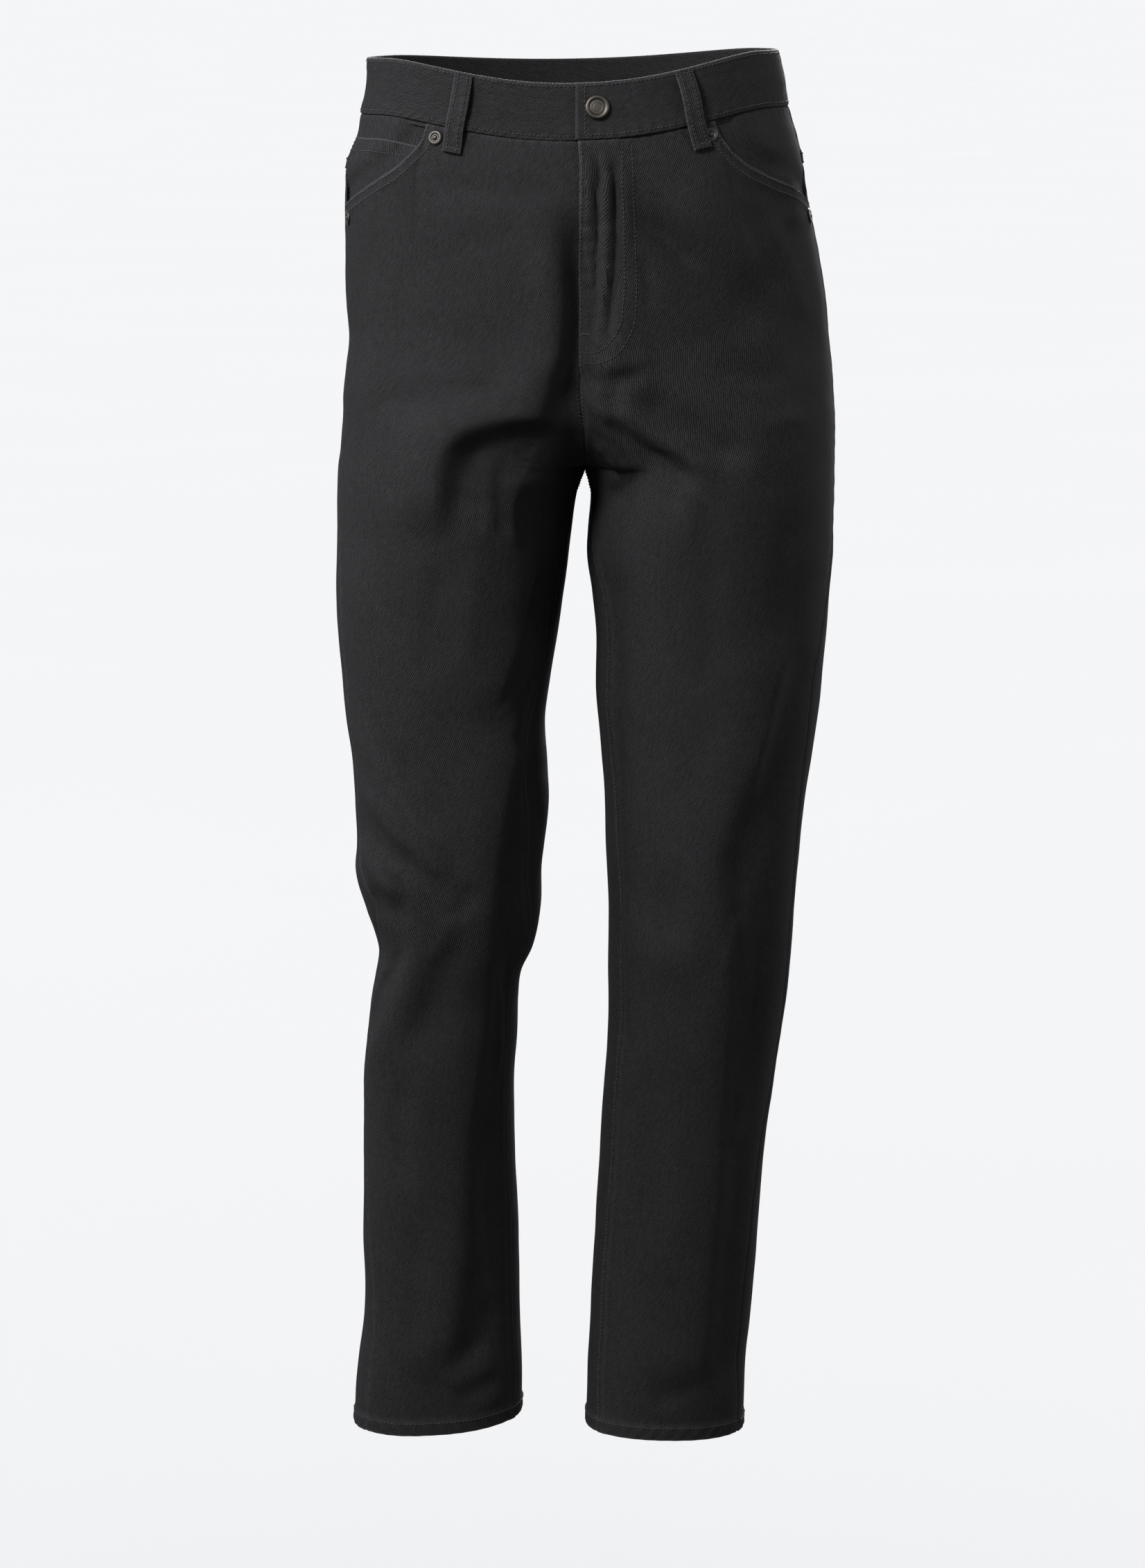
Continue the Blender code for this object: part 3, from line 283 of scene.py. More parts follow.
# Folds of the worn cloth. face is the side of the garment that the path is drawn on, and path the points
# (across, up) on it, in millimetres. height is out from the form when plus, and edge and soft the widths of
# the fold on the right and on the left of its path, going along it. A lip above 0 makes the cloth drop off
# into a hollow on the right of the path, as it does under a pulled fold, and one below 0 on the left.
FOLD_COLUMNS = ("side", "face", "height", "edge", "soft", "lip", "path")
FOLDS = (
    # Pulled folds round the crotch, seen in front.
    ("right", "front", 7.0, 11, 30, 1.5,
     ((-101, -316), (-101, -282), (-97, -259), (-86, -243), (-62, -234), (-38, -230), (-18, -234),
      (-6, -246))),
    ("both", "front", -9, 13, 12, 0, ((-3, -84), (-2, -110), (-1, -150), (-1, -200), (-1, -240), (0, -266))),
    ("both", "front", 3.4, 9, 24, 2.4,
     ((-38, -240), (-29, -224), (-22, -204), (-16, -180), (-14, -146), (-18, -106))),
    ("both", "front", -5, 17, 15, 0, ((-12, -196), (-18, -230), (-20, -268))),
    ("right", "front", -9, 26, 24, 0, ((-24, -278), (-24, -305), (-24, -345), (-28, -400))),
    ("right", "front", -2.5, 14, 12, 0, ((-144, -218), (-90, -219), (-42, -214))),
    ("right", "front", -2.0, 10, 14, 0, ((-114, -70), (-64, -72), (-14, -78))),
    ("left", "front", -6.0, 14, 18, 0, ((40, -86), (62, -106), (80, -124), (102, -146), (134, -174))),
    ("left", "front", 2.5, 18, 24, 0, ((60, -78), (95, -104), (132, -136))),
    ("left", "front", -5.5, 10, 14, 0,
     ((36, -214), (52, -226), (64, -236), (80, -244), (98, -253), (120, -266))),
    ("left", "front", 3.5, 9, 9, 0,
     ((29, -212), (36, -230), (52, -244), (70, -256), (86, -268), (93, -284))),
    ("left", "front", -5.0, 8, 9, 0, ((12, -234), (26, -244), (42, -254), (60, -265), (86, -282))),
    ("left", "front", 3.0, 9, 10, 0, ((18, -261), (34, -268), (48, -266))),
    ("left", "front", -4.0, 7, 9, 0, ((48, -267), (36, -280), (20, -295))),
    ("left", "front", -3.0, 8, 10, 0, ((21, -228), (28, -208), (46, -200))),
    ("left", "front", 3.0, 26, 30, 0, ((38, -302), (62, -302), (88, -300))),
    ("right", "front", -2.5, 6, 8, 0, ((-54, -260), (-56, -290), (-54, -322))),
    ("right", "front", -3.0, 6, 8, 0, ((-36, -284), (-38, -304), (-33, -332))),
    ("left", "front", 3.0, 10, 16, 0, ((144, -58), (149, -80), (153, -104))),
    # The wearer's right leg, from the thigh to the hem.
    ("right", "front", 4.0, 13, 26, 1.3, ((-66, -450), (-56, -420), (-44, -388), (-33, -360), (-21, -326))),
    ("right", "front", 4.5, 15, 30, 1.2,
     ((-101, -950), (-99, -925), (-95, -890), (-90, -850), (-88, -800), (-85, -760), (-76, -700),
      (-70, -650), (-69, -600), (-63, -550), (-57, -510), (-49, -475), (-44, -450))),
    ("right", "front", 2.5, 9, 9, 0, ((-54, -436), (-42, -460))),
    ("right", "front", -3.5, 8, 9, 0, ((-29, -422), (-38, -448), (-45, -474))),
    ("right", "front", 2.6, 10, 14, 0, ((-159, -446), (-147, -485), (-128, -520), (-96, -556))),
    ("right", "front", 3.0, 8, 10, 0, ((-157, -498), (-138, -524), (-112, -548), (-88, -563))),
    ("right", "front", -2.6, 12, 15, 0, ((-160, -527), (-138, -546), (-110, -564))),
    ("right", "front", 2.2, 7, 9, 0, ((-159, -546), (-148, -560), (-138, -572), (-128, -579))),
    ("right", "front", -2.4, 10, 13, 0, ((-152, -580), (-140, -588), (-120, -590))),
    ("right", "front", 3.4, 11, 17, 0,
     ((-110, -602), (-120, -632), (-132, -664), (-148, -698), (-153, -724))),
    ("right", "front", -3.0, 13, 16, 0, ((-88, -600), (-100, -634), (-108, -662), (-124, -698))),
    ("right", "front", -2.0, 10, 12, 0, ((-103, -943), (-88, -933), (-72, -920), (-61, -886))),
    ("right", "front", 1.8, 10, 12, 0, ((-102, -955), (-84, -947), (-60, -936))),
    # The wearer's left leg, from the thigh to the hem.
    ("left", "front", 4.5, 15, 32, 1.2,
     ((83, -958), (88, -920), (92, -860), (97, -800), (99, -750), (101, -700), (103, -650), (100, -600),
      (96, -555), (106, -515), (119, -480), (134, -432), (147, -392))),
    ("left", "front", -2.5, 9, 11, 0, ((28, -330), (27, -420), (27, -520), (28, -600), (30, -700))),
    ("left", "front", -1.8, 20, 26, 0, ((26, -566), (50, -584), (84, -592))),
    ("left", "front", 1.8, 20, 26, 0, ((28, -604), (56, -620), (92, -622))),
    ("left", "front", -1.4, 12, 14, 0, ((92, -946), (74, -957), (52, -964))),
    # The back, finished with the same kinds of fold.
    ("both", "back", -5.0, 18, 18, 0, ((0, -106), (1, -170), (3, -230), (4, -270))),
    ("right", "back", 5.0, 26, 10, -1.2, ((-24, -256), (-62, -276), (-112, -282), (-150, -264))),
    ("left", "back", 5.0, 10, 26, 1.2, ((28, -260), (70, -282), (116, -286), (156, -270))),
    ("right", "back", 4.0, 20, 26, 0, ((-34, -312), (-76, -330), (-122, -334))),
    ("left", "back", 4.0, 26, 20, 0, ((40, -318), (80, -334), (124, -342))),
    ("right", "back", -4.0, 16, 22, 0, ((-44, -372), (-72, -440), (-118, -500))),
    ("left", "back", -4.0, 22, 16, 0, ((48, -366), (76, -430), (122, -486))),
    ("right", "back", -6.0, 12, 16, 0, ((-60, -566), (-96, -580), (-138, -570))),
    ("left", "back", -6.0, 16, 12, 0, ((44, -572), (84, -586), (132, -578))),
    ("right", "back", 5.0, 15, 18, 0, ((-62, -600), (-100, -614), (-140, -602))),
    ("left", "back", 5.0, 18, 15, 0, ((46, -606), (86, -620), (128, -610))),
    ("right", "back", -5.0, 13, 16, 0, ((-70, -648), (-104, -658), (-138, -646))),
    ("left", "back", -5.0, 16, 13, 0, ((50, -646), (84, -658), (120, -648))),
    ("right", "back", -3.0, 22, 28, 0, ((-84, -700), (-104, -800), (-112, -900))),
    ("left", "back", -3.0, 28, 22, 0, ((60, -700), (72, -800), (76, -900))),
)

# Finer folds than the solids have, with the same columns.
FINE_FOLDS = (
    # Over the zip: two raised rows with a hollow on each side, and ripples across them.
    ("left", "front", -3.0, 2.8, 3.0, 0,
     ((10.7, -8), (10.7, -35), (11.6, -52), (13.6, -62), (11.8, -76), (12.6, -90), (13.4, -104),
      (12.8, -132), (12.4, -152), (10, -166), (7, -182))),
    ("left", "front", -3.2, 2.6, 3.0, 0, ((10.5, 0), (10.6, -35), (11.6, -50), (14.4, -64), (17, -76))),
    ("left", "front", -3.4, 3.2, 5.2, 0,
     ((23.0, -6), (23.4, -37), (23.4, -49), (24.0, -66), (24.4, -84), (24.6, -113), (23.6, -133),
      (22, -152), (20, -172), (17, -190))),
    ("left", "front", -2.4, 3.0, 4.6, 0, ((23, 0), (23.4, -40), (23.8, -70), (24.4, -100))),
    ("left", "front", 1.5, 3.0, 3.0, 0, ((5.5, -14), (6, -60), (6.3, -110), (6.2, -160))),
    ("left", "front", 2.2, 3.6, 3.6, 0,
     ((17, -6), (18, -40), (18.6, -80), (18.8, -110), (18, -135), (16.4, -150), (12, -163))),
    ("left", "front", -0.9, 2.0, 2.2, 0, ((1, -97), (6, -98), (11, -100))),
    ("left", "front", -1.0, 2.0, 2.4, 0, ((1, -107), (6, -109), (11, -108))),
    ("left", "front", -0.9, 2.2, 2.4, 0, ((1, -118), (6, -119), (12, -121))),
    ("left", "front", -1.1, 2.2, 2.6, 0, ((1, -129), (6, -131), (11, -130))),
    ("left", "front", -0.9, 2.2, 2.6, 0, ((2, -141), (7, -142), (12, -145))),
    ("left", "front", -0.9, 2.4, 2.6, 0, ((2, -76), (6, -77), (11, -75))),
    ("left", "front", -0.8, 2.6, 3.0, 0, ((14, -58), (18, -60), (23, -57))),
    ("left", "front", -0.8, 2.6, 3.0, 0, ((14, -97), (18, -95), (23, -98))),
    ("left", "front", -0.9, 2.6, 3.0, 0, ((14, -121), (18, -124), (23, -122))),
    ("left", "front", 1.0, 3.0, 4.0, 0, ((30, -30), (30.5, -60), (31.5, -95), (31, -130))),
    ("left", "front", -2.6, 8.0, 10.0, 0, ((30, -66), (42, -86), (56, -100), (70, -112), (86, -132))),
    ("left", "front", -1.2, 4.0, 5.0, 0, ((44, -118), (47, -134), (50, -156))),
    ("left", "front", 1.0, 5.0, 5.0, 0, ((14, -196), (32, -198), (50, -186))),
    ("left", "front", -1.2, 4.0, 4.5, 0, ((8, -204), (20, -214), (28, -232))),
    ("left", "front", 1.2, 3.5, 4.0, 0, ((6, -216), (14, -228), (22, -238))),
    ("left", "front", -1.5, 3.5, 4.0, 0, ((6, -246), (20, -252), (34, -262), (44, -272))),
    ("left", "front", 1.3, 3.5, 4.0, 0, ((8, -256), (20, -262), (30, -274))),
    ("left", "front", -1.2, 5.0, 6.0, 0, ((50, -278), (62, -286), (70, -298))),
    # The hip and the front of the thigh.
    ("right", "front", -1.0, 5.0, 6.0, 0, ((-146, -228), (-128, -222), (-112, -226))),
    ("right", "front", -1.0, 5.0, 6.0, 0, ((-98, -208), (-76, -212), (-58, -206))),
    ("right", "front", -1.1, 4.0, 5.0, 0, ((-72, -222), (-56, -225), (-40, -220))),
    ("right", "front", 0.9, 5.0, 6.0, 0, ((-90, -228), (-70, -226), (-48, -226))),
    ("right", "front", -1.2, 5.0, 7.0, 0, ((-76, -262), (-72, -284), (-68, -312))),
    ("right", "front", 1.0, 7.0, 8.0, 0, ((-66, -262), (-64, -286), (-62, -318))),
    ("right", "front", 1.2, 5.0, 6.0, 0, ((-46, -264), (-46, -290), (-44, -326))),
    ("right", "front", -1.0, 8.0, 10.0, 0, ((-120, -118), (-126, -156), (-124, -200))),
    ("right", "front", 1.0, 10.0, 12.0, 0, ((-146, -130), (-148, -180), (-152, -240))),
    ("right", "front", -0.9, 7.0, 9.0, 0, ((-38, -96), (-60, -108), (-92, -108))),
    ("left", "front", -1.4, 8.0, 10.0, 0, ((118, -84), (128, -110), (146, -150))),
    ("left", "front", 1.2, 8.0, 10.0, 0, ((132, -92), (146, -124), (160, -168))),
    ("left", "front", -1.2, 7.0, 9.0, 0, ((96, -196), (118, -206), (148, -206))),
    ("left", "front", 1.0, 8.0, 9.0, 0, ((112, -224), (136, -236), (160, -232))),
    ("right", "front", 1.2, 8.0, 10.0, 0, ((-72, -330), (-78, -372), (-84, -420))),
    ("right", "front", -1.2, 8.0, 10.0, 0, ((-96, -330), (-104, -370), (-110, -420))),
    ("left", "front", 1.1, 9.0, 11.0, 0, ((52, -336), (56, -380), (60, -430))),
    ("left", "front", -1.2, 9.0, 11.0, 0, ((84, -330), (92, -372), (88, -424))),
    ("left", "front", -0.8, 9.0, 12.0, 0, ((96, -438), (82, -476), (76, -512))),
    ("left", "front", -1.4, 8.0, 10.0, 0, ((150, -300), (144, -350), (150, -392))),
    ("left", "front", 1.6, 5.0, 7.0, 0, ((138, -440), (128, -476), (122, -520))),
    # Knees, shins and hems.
    ("right", "front", 1.3, 5.0, 6.0, 0, ((-148, -470), (-134, -500), (-108, -532), (-92, -546))),
    ("right", "front", -1.4, 5.0, 6.0, 0, ((-128, -470), (-116, -506), (-98, -530))),
    ("right", "front", 1.5, 4.0, 5.0, 0, ((-146, -546), (-136, -558), (-126, -562))),
    ("right", "front", -1.4, 6.0, 7.0, 0, ((-78, -566), (-84, -584), (-100, -590))),
    ("right", "front", 1.5, 6.0, 8.0, 0, ((-92, -578), (-96, -604), (-106, -628))),
    ("right", "front", -1.5, 5.0, 6.0, 0, ((-126, -618), (-134, -636), (-144, -650))),
    ("right", "front", 1.6, 4.5, 5.0, 0, ((-138, -632), (-146, -652), (-152, -676))),
    ("right", "front", -1.4, 5.0, 6.0, 0, ((-54, -604), (-50, -632), (-54, -660))),
    ("right", "front", 1.6, 4.0, 5.0, 0, ((-56, -640), (-55, -676), (-56, -720))),
    ("right", "front", -1.3, 8.0, 10.0, 0, ((-128, -712), (-132, -752), (-128, -800))),
    ("right", "front", 1.2, 9.0, 11.0, 0, ((-112, -700), (-116, -750), (-114, -820))),
    ("right", "front", 1.6, 6.0, 8.0, 0, ((-66, -770), (-70, -812), (-64, -862))),
    ("right", "front", -1.2, 8.0, 10.0, 0, ((-122, -830), (-120, -880), (-126, -930))),
    ("right", "front", -1.2, 6.0, 8.0, 0, ((-90, -966), (-76, -958), (-58, -950))),
    ("right", "front", 1.0, 6.0, 7.0, 0, ((-84, -982), (-72, -972), (-56, -964))),
    ("left", "front", 1.6, 3.5, 4.5, 0, ((114, -592), (109, -610), (106, -634))),
    ("left", "front", -0.7, 9.0, 11.0, 0, ((70, -548), (64, -584), (60, -616))),
    ("left", "front", 1.4, 6.0, 8.0, 0, ((124, -560), (122, -610), (122, -660))),
    ("left", "front", -1.2, 6.0, 8.0, 0, ((134, -600), (130, -650), (126, -700))),
    ("left", "front", 1.6, 7.0, 9.0, 0, ((120, -720), (118, -744), (112, -772))),
    ("left", "front", -1.0, 9.0, 11.0, 0, ((46, -700), (50, -760), (46, -840))),
    ("left", "front", 1.0, 9.0, 11.0, 0, ((70, -720), (72, -790), (66, -870))),
    ("left", "front", 0.8, 7.0, 9.0, 0, ((96, -960), (78, -966), (56, -974))),
    # The back: the seat, behind the knees and above the hems.
    ("both", "back", 1.4, 9.0, 12.0, 0, ((-70, -108), (-36, -122), (-12, -128))),
    ("both", "back", 1.4, 12.0, 9.0, 0, ((70, -108), (36, -122), (12, -128))),
    ("right", "back", -1.8, 7.0, 9.0, 0, ((-22, -236), (-48, -252), (-80, -252))),
    ("left", "back", -1.8, 9.0, 7.0, 0, ((26, -240), (52, -256), (86, -258))),
    ("right", "back", 1.6, 8.0, 9.0, 0, ((-90, -300), (-124, -306), (-152, -292))),
    ("left", "back", 1.6, 8.0, 9.0, 0, ((96, -306), (132, -312), (160, -300))),
    ("right", "back", 1.8, 6.0, 8.0, 0, ((-56, -548), (-90, -556), (-134, -546))),
    ("left", "back", 1.8, 6.0, 8.0, 0, ((44, -554), (78, -564), (124, -556))),
    ("right", "back", -2.0, 6.0, 8.0, 0, ((-62, -624), (-96, -636), (-126, -632))),
    ("left", "back", -2.0, 6.0, 8.0, 0, ((46, -630), (78, -644), (112, -640))),
    ("right", "back", 1.8, 7.0, 8.0, 0, ((-74, -668), (-102, -680), (-128, -674))),
    ("left", "back", 1.8, 7.0, 8.0, 0, ((54, -672), (82, -684), (108, -678))),
    ("right", "back", -1.6, 8.0, 10.0, 0, ((-70, -404), (-96, -440), (-132, -452))),
    ("left", "back", -1.6, 8.0, 10.0, 0, ((62, -400), (92, -436), (130, -448))),
    ("right", "back", 1.6, 7.0, 9.0, 0, ((-78, -934), (-100, -944), (-130, -940))),
    ("left", "back", 1.6, 7.0, 9.0, 0, ((42, -934), (66, -946), (96, -942))),
)

# The cut edge of the front pocket's opening, from the waistband to the side seam.
SCOOP_COLUMNS = ("drop", "right_turn", "left_turn")
SCOOP_ROWS = (
    (20, -49, -53),
    (32, -48, -52),
    (44, -45, -49),
    (55, -41, -44),
    (66, -33, -35),
    (75, -24, -24),
    (82, -15, -13),
    (87, -7.2, -5),
)
SCOOP_END = 87.0

PANEL_TOP = 20.3
STRAIGHT_ROWS = 240.0
SCOOP_COLUMN = 0.515
YOKE_SIDE = 60.0
YOKE_CENTRE = 92.0

# The fly: the left front lies over the right one down to the stitched bottom of the fly.
FLY_LIFT = 1.9
FLY_UNDER = 6.0
FLY_BOTTOM = 186.0


def polyline(points, step=4.0):
    """Points close together along a smooth curve through the given ones."""
    points = np.array(points, float)
    lengths = np.concatenate([[0], np.cumsum(np.linalg.norm(np.diff(points, axis=0), axis=1))])
    at = np.linspace(0, lengths[-1], max(3, int(lengths[-1] / step) + 1))
    return np.stack([smooth(lengths, points[:, k], at) for k in range(points.shape[1])], axis=1)


def lookup(side):
    """A fine net of points of one side's form, and the turn of each, to find places on it."""
    drops = np.arange(BAND_TOP, HEM + 0.1, 4.0)
    shares = np.linspace(-1, 1, 161)
    drop = np.repeat(drops[:, None], len(shares), axis=1)
    turn = side.turn_end(drops)[:, None] * shares[None, :]
    return drop, turn, side.points(drop, turn)


SIDES = {name: Side(name) for name in ("right", "left")}
NETS = {name: lookup(SIDES[name]) for name in SIDES}


def find_place(name, face, across, up):
    """The drop and turn of the point of the form that is seen at (across, up) from in front or behind."""
    drop, turn, points = NETS[name]
    miss = (points[..., 0] - across) ** 2 + (points[..., 2] - up) ** 2
    wrong = turn > 0 if face == "front" else turn < 0
    miss = np.where(wrong, 1e9, miss)
    r, c = np.unravel_index(np.argmin(miss), miss.shape)
    # Then the same on a finer net round the nearest point.
    down, round_way = drop[1, 0] - drop[0, 0], turn[r, 1] - turn[r, 0]
    part = np.linspace(-1, 1, 17)
    drop = drop[r, c] + down * part[:, None]
    turn = turn[r, c] + round_way * part[None, :]
    drop, turn = np.broadcast_arrays(drop, turn)
    points = SIDES[name].points(drop, turn)
    miss = (points[..., 0] - across) ** 2 + (points[..., 2] - up) ** 2
    spot = np.unravel_index(np.argmin(miss), miss.shape)
    return drop[spot], turn[spot]


def fold_lines():
    """The folds of each side: their lines in space and their sizes."""
    lines = {"right": [], "left": []}
    for row in FOLDS + FINE_FOLDS:
        fold = dict(zip(FOLD_COLUMNS, row))
        flat = polyline(fold["path"], 8.0)
        on = fold["side"]
        space = []
        for across, up in flat:
            name = on if on != "both" else ("right" if across < 2 else "left")
            drop, turn = find_place(name, fold["face"], across, up)
            space.append(SIDES[name].points(drop, turn))
        fold["line"] = polyline(space, 5.0)
        for name in ("right", "left"):
            if on in (name, "both"):
                lines[name].append(fold)
    return lines


FOLD_LINES = fold_lines()


def nearest_on(line, points):
    """For each point, how many steps along a line its nearest place lies, and the way from that to it."""
    away = points[:, None, :] - line[None, :, :]
    near = np.argmin(np.einsum("nkc,nkc->nk", away, away), axis=1)
    best = np.full(len(points), np.inf)
    at = np.zeros(len(points))
    for first in (np.maximum(near - 1, 0), np.minimum(near, len(line) - 2)):
        step = line[first + 1] - line[first]
        length = np.maximum(np.einsum("nc,nc->n", step, step), 1e-9)
        t = np.clip(np.einsum("nc,nc->n", points - line[first], step) / length, 0, 1)
        miss = np.einsum("nc,nc->n", *(2 * [points - line[first] - t[:, None] * step]))
        closer = miss < best
        best = np.where(closer, miss, best)
        at = np.where(closer, first + t, at)
    return at, points - along_line(at, np.arange(len(line)), line)


def fold_height(name, points, normals):
    """How far the folds move each point of a side's form along its normal."""
    size = points.shape[:-1]
    points, normals = points.reshape(-1, 3), normals.reshape(-1, 3)
    height = np.zeros(len(points))
    for fold in FOLD_LINES[name]:
        line = fold["line"]
        reach = 2.2 * max(fold["edge"] * (3 if fold["lip"] else 1), fold["soft"])
        low, high = line.min(axis=0) - reach, line.max(axis=0) + reach
        close = np.flatnonzero(np.all((points > low) & (points < high), axis=1))
        if not len(close):
            continue
        near, away = nearest_on(line, points[close])
        last = len(line) - 1
        along = unit(along_line(near, np.arange(last + 1), np.gradient(line, axis=0)))
        over = np.einsum("nc,nc->n", unit(np.cross(along, normals[close])), away)
        past = np.einsum("nc,nc->n", along, away)
        beyond = ((near <= 0) & (past < 0)) | ((near >= last) & (past > 0))
        sideways = away - along * np.where(beyond, 0, past)[:, None]
        far = np.linalg.norm(sideways, axis=1)
        right_of = ease(over / np.maximum(far, 1e-6) * 0.5 + 0.5)
        width = fold["soft"] + (fold["edge"] - fold["soft"]) * right_of
        step = np.linalg.norm(line[1] - line[0])
        share = (near + np.where(beyond, past / step, 0)) / last
        ends = min(0.3, 40 / (last * step))
        fade = ease(share / ends + 0.2) * ease((1 - share) / ends + 0.2)
        shape = bell(far, width)
        hollow = right_of if fold["lip"] > 0 else 1 - right_of
        lip = abs(fold["lip"])
        shape += lip * hollow * (shape - bell(far, 3 * width))
        height[close] += fold["height"] * fade * shape
    return height.reshape(size)


def unit(vectors):
    return vectors / np.maximum(np.linalg.norm(vectors, axis=-1), 1e-12)[..., None]


def form_normals(form, side, drop, turn, far_down, far_round):
    """Outward normals of a form, from its points a little way up and down and round it."""
    down = form(side, drop + far_down, turn) - form(side, drop - far_down, turn)
    round_way = form(side, drop, turn + far_round) - form(side, drop, turn - far_round)
    return unit(np.cross(down, round_way)) * side.sign


def plain_normals(side, drop, turn):
    """Outward normals of the form without its folds."""
    return form_normals(Side.points, side, drop, turn, 2, 1)


def unevenness(points):
    """A slight waviness of the whole cloth, in millimetres, from the place alone."""
    x, y, z = (points[..., k] for k in range(3))
    wave = 0.32 * np.sin(x / 19.0 + 1.3 * np.sin(z / 47.0)) * np.sin(z / 31.0 + 0.7 * np.sin(y / 23.0))
    wave += 0.22 * np.sin((x + 0.6 * z) / 11.0 + np.sin(y / 17.0)) * np.sin((z - 0.4 * y) / 23.0)
    wave += 0.10 * np.sin((y - x) / 6.5 + np.sin(z / 13.0)) * np.sin(z / 8.0 + np.sin(x / 9.0))
    return wave


def folded(side, drop, turn):
    """Points of the form with its folds and its slight waviness."""
    base = side.points(drop, turn)
    normals = plain_normals(side, drop, turn)
    drop = np.asarray(drop)
    height = fold_height(side.name, base, normals)
    height = height * ease((drop - 24) / 40) * ease((1000 - drop) / 30)
    points = base + normals * height[..., None]
    amount = ease((drop - 22) / 30) * (1 - 0.6 * ease((drop - 960) / 30))
    return points + normals * (unevenness(points) * amount)[..., None]


# From these levels down, and this far beside it, the cloth is held at the centre seam and meets in depth.
HELD_FROM = 176.0
HELD_WIDTH = 16.0
MET_FROM = 184.0
MET_WIDTH = 30.0


def hold_centre(side, drop, turn, points):
    """Shifts the cloth beside the centre seam, so that both sides' edges meet from the fly to the crotch."""
    drop, turn = np.broadcast_arrays(np.asarray(drop, float), np.asarray(turn, float))
    limit = side.sign * side.row("inner", drop) + SEAM_HALF_GAP
    from_edge = np.abs(side.turn_end(drop) - np.abs(turn)) * HIP_DEGREE
    below = (drop > HELD_FROM) & (drop <= CROTCH)
    held = (1 - ease(from_edge / HELD_WIDTH)) * ease((drop - HELD_FROM) / 8) * below
    points = np.array(points)
    x = side.sign * points[..., 0]
    moved = below & (from_edge < MET_WIDTH)
    if np.any(moved):
        level, place = drop[moved], turn[moved]
        other = SIDES["left" if side.name == "right" else "right"]
        way = np.where(place < 0, -1, 1)
        edge = folded(side, level, way * side.turn_end(level))
        twin = folded(other, level, way * other.turn_end(level))
        error = x[moved] + side.sign * (edge - folded(side, level, place))[..., 0] - limit[moved]
        x[moved] -= error * held[moved]
        near = 1 - ease(from_edge[moved] / MET_WIDTH)
        near = near * ease((level - MET_FROM) / 12) * ease((CROTCH - level) / 12)
        points[moved, 1] += (twin - edge)[..., 1] / 2 * near
    points[..., 0] = side.sign * np.where(below, np.maximum(x, limit), x)
    return points


def surface(side, drop, turn):
    """Points of the outside of the cloth, and its outward normals."""
    drop, turn = np.broadcast_arrays(np.asarray(drop, float), np.asarray(turn, float))
    normals = form_normals(folded, side, drop, turn, 3, 2)
    return hold_centre(side, drop, turn, folded(side, drop, turn)), normals


def degrees_of(side, drop, turn, length):
    """The turn that a length in millimetres round the form takes up at a place."""
    step = np.linalg.norm(side.points(drop, turn + 0.5) - side.points(drop, turn - 0.5), axis=-1)
    return length / step


def scoop_knots(name):
    """The drops and turns of the front pocket's edge."""
    return tuple(table_column(SCOOP_ROWS, SCOOP_COLUMNS, column) for column in ("drop", name + "_turn"))


def rows_under(top, rows):
    """The drops of a leg panel's rows, level below STRAIGHT_ROWS and bent to its top edge above."""
    share_down = np.clip((rows - rows[0]) / (STRAIGHT_ROWS - rows[0]), 0, 1)
    drop = top[None, :] + (STRAIGHT_ROWS - top[None, :]) * share_down[:, None]
    return np.where(rows[:, None] > STRAIGHT_ROWS, rows[:, None], drop), share_down


def yoke_seam(shares):
    """The level of the seam below the yoke."""
    return YOKE_SIDE + (YOKE_CENTRE - YOKE_SIDE) * shares


def front_net(name, shares, rows):
    """The drop and turn of each point of a front panel, from its rows and columns."""
    side = SIDES[name]
    drops, turns = scoop_knots(name)
    # The top edge: down the scoop for the columns outside it, and along the waist seam for the rest.
    out = shares < SCOOP_COLUMN - 1e-6
    reach = 1 - shares[out] / SCOOP_COLUMN
    lengths = np.concatenate([[0], np.cumsum(np.hypot(np.diff(drops), SCOOP_DEGREE * np.diff(turns)))])
    top = np.full(len(shares), PANEL_TOP)
    top_turn = np.full(len(shares), turns[0])
    top[out] = np.interp(reach * lengths[-1], lengths, drops)
    top_turn[out] = np.interp(reach * lengths[-1], lengths, turns)
    drop, share_down = rows_under(top, rows)
    inner_turn, outer_turn = side.seam_turns(drop)
    slack = degrees_of(side, drop, outer_turn, SEAM_HALF_GAP)
    slack_in = degrees_of(side, drop, inner_turn, SEAM_HALF_GAP)
    slack_in = np.where(drop <= CROTCH - 12, 0, slack_in)
    if name == "right":
        under = 1 - ease((drop - 148) / 14)
        slack_in = slack_in - under * degrees_of(side, drop, inner_turn, FLY_UNDER)
    outer_turn, inner_turn = outer_turn - slack, inner_turn + slack_in
    even = outer_turn + (inner_turn - outer_turn) * shares[None, :]
    before = np.clip(1 - shares / SCOOP_COLUMN, 0, 1)[None, :]
    slanted = top_turn[None, :] + (outer_turn - turns[-1]) * before
    beyond = np.clip((shares - SCOOP_COLUMN) / (1 - SCOOP_COLUMN), 0, 1)[None, :]
    slanted = slanted + (inner_turn - turns[0]) * beyond
    turn = slanted + (even - slanted) * ease(share_down)[:, None]
    return drop, turn


def back_net(name, shares, rows):
    """The rows and columns of a back panel below its yoke."""
    drop, _ = rows_under(yoke_seam(shares) + 2 * SEAM_HALF_GAP, rows)
    return drop, back_turns(SIDES[name], drop, shares)


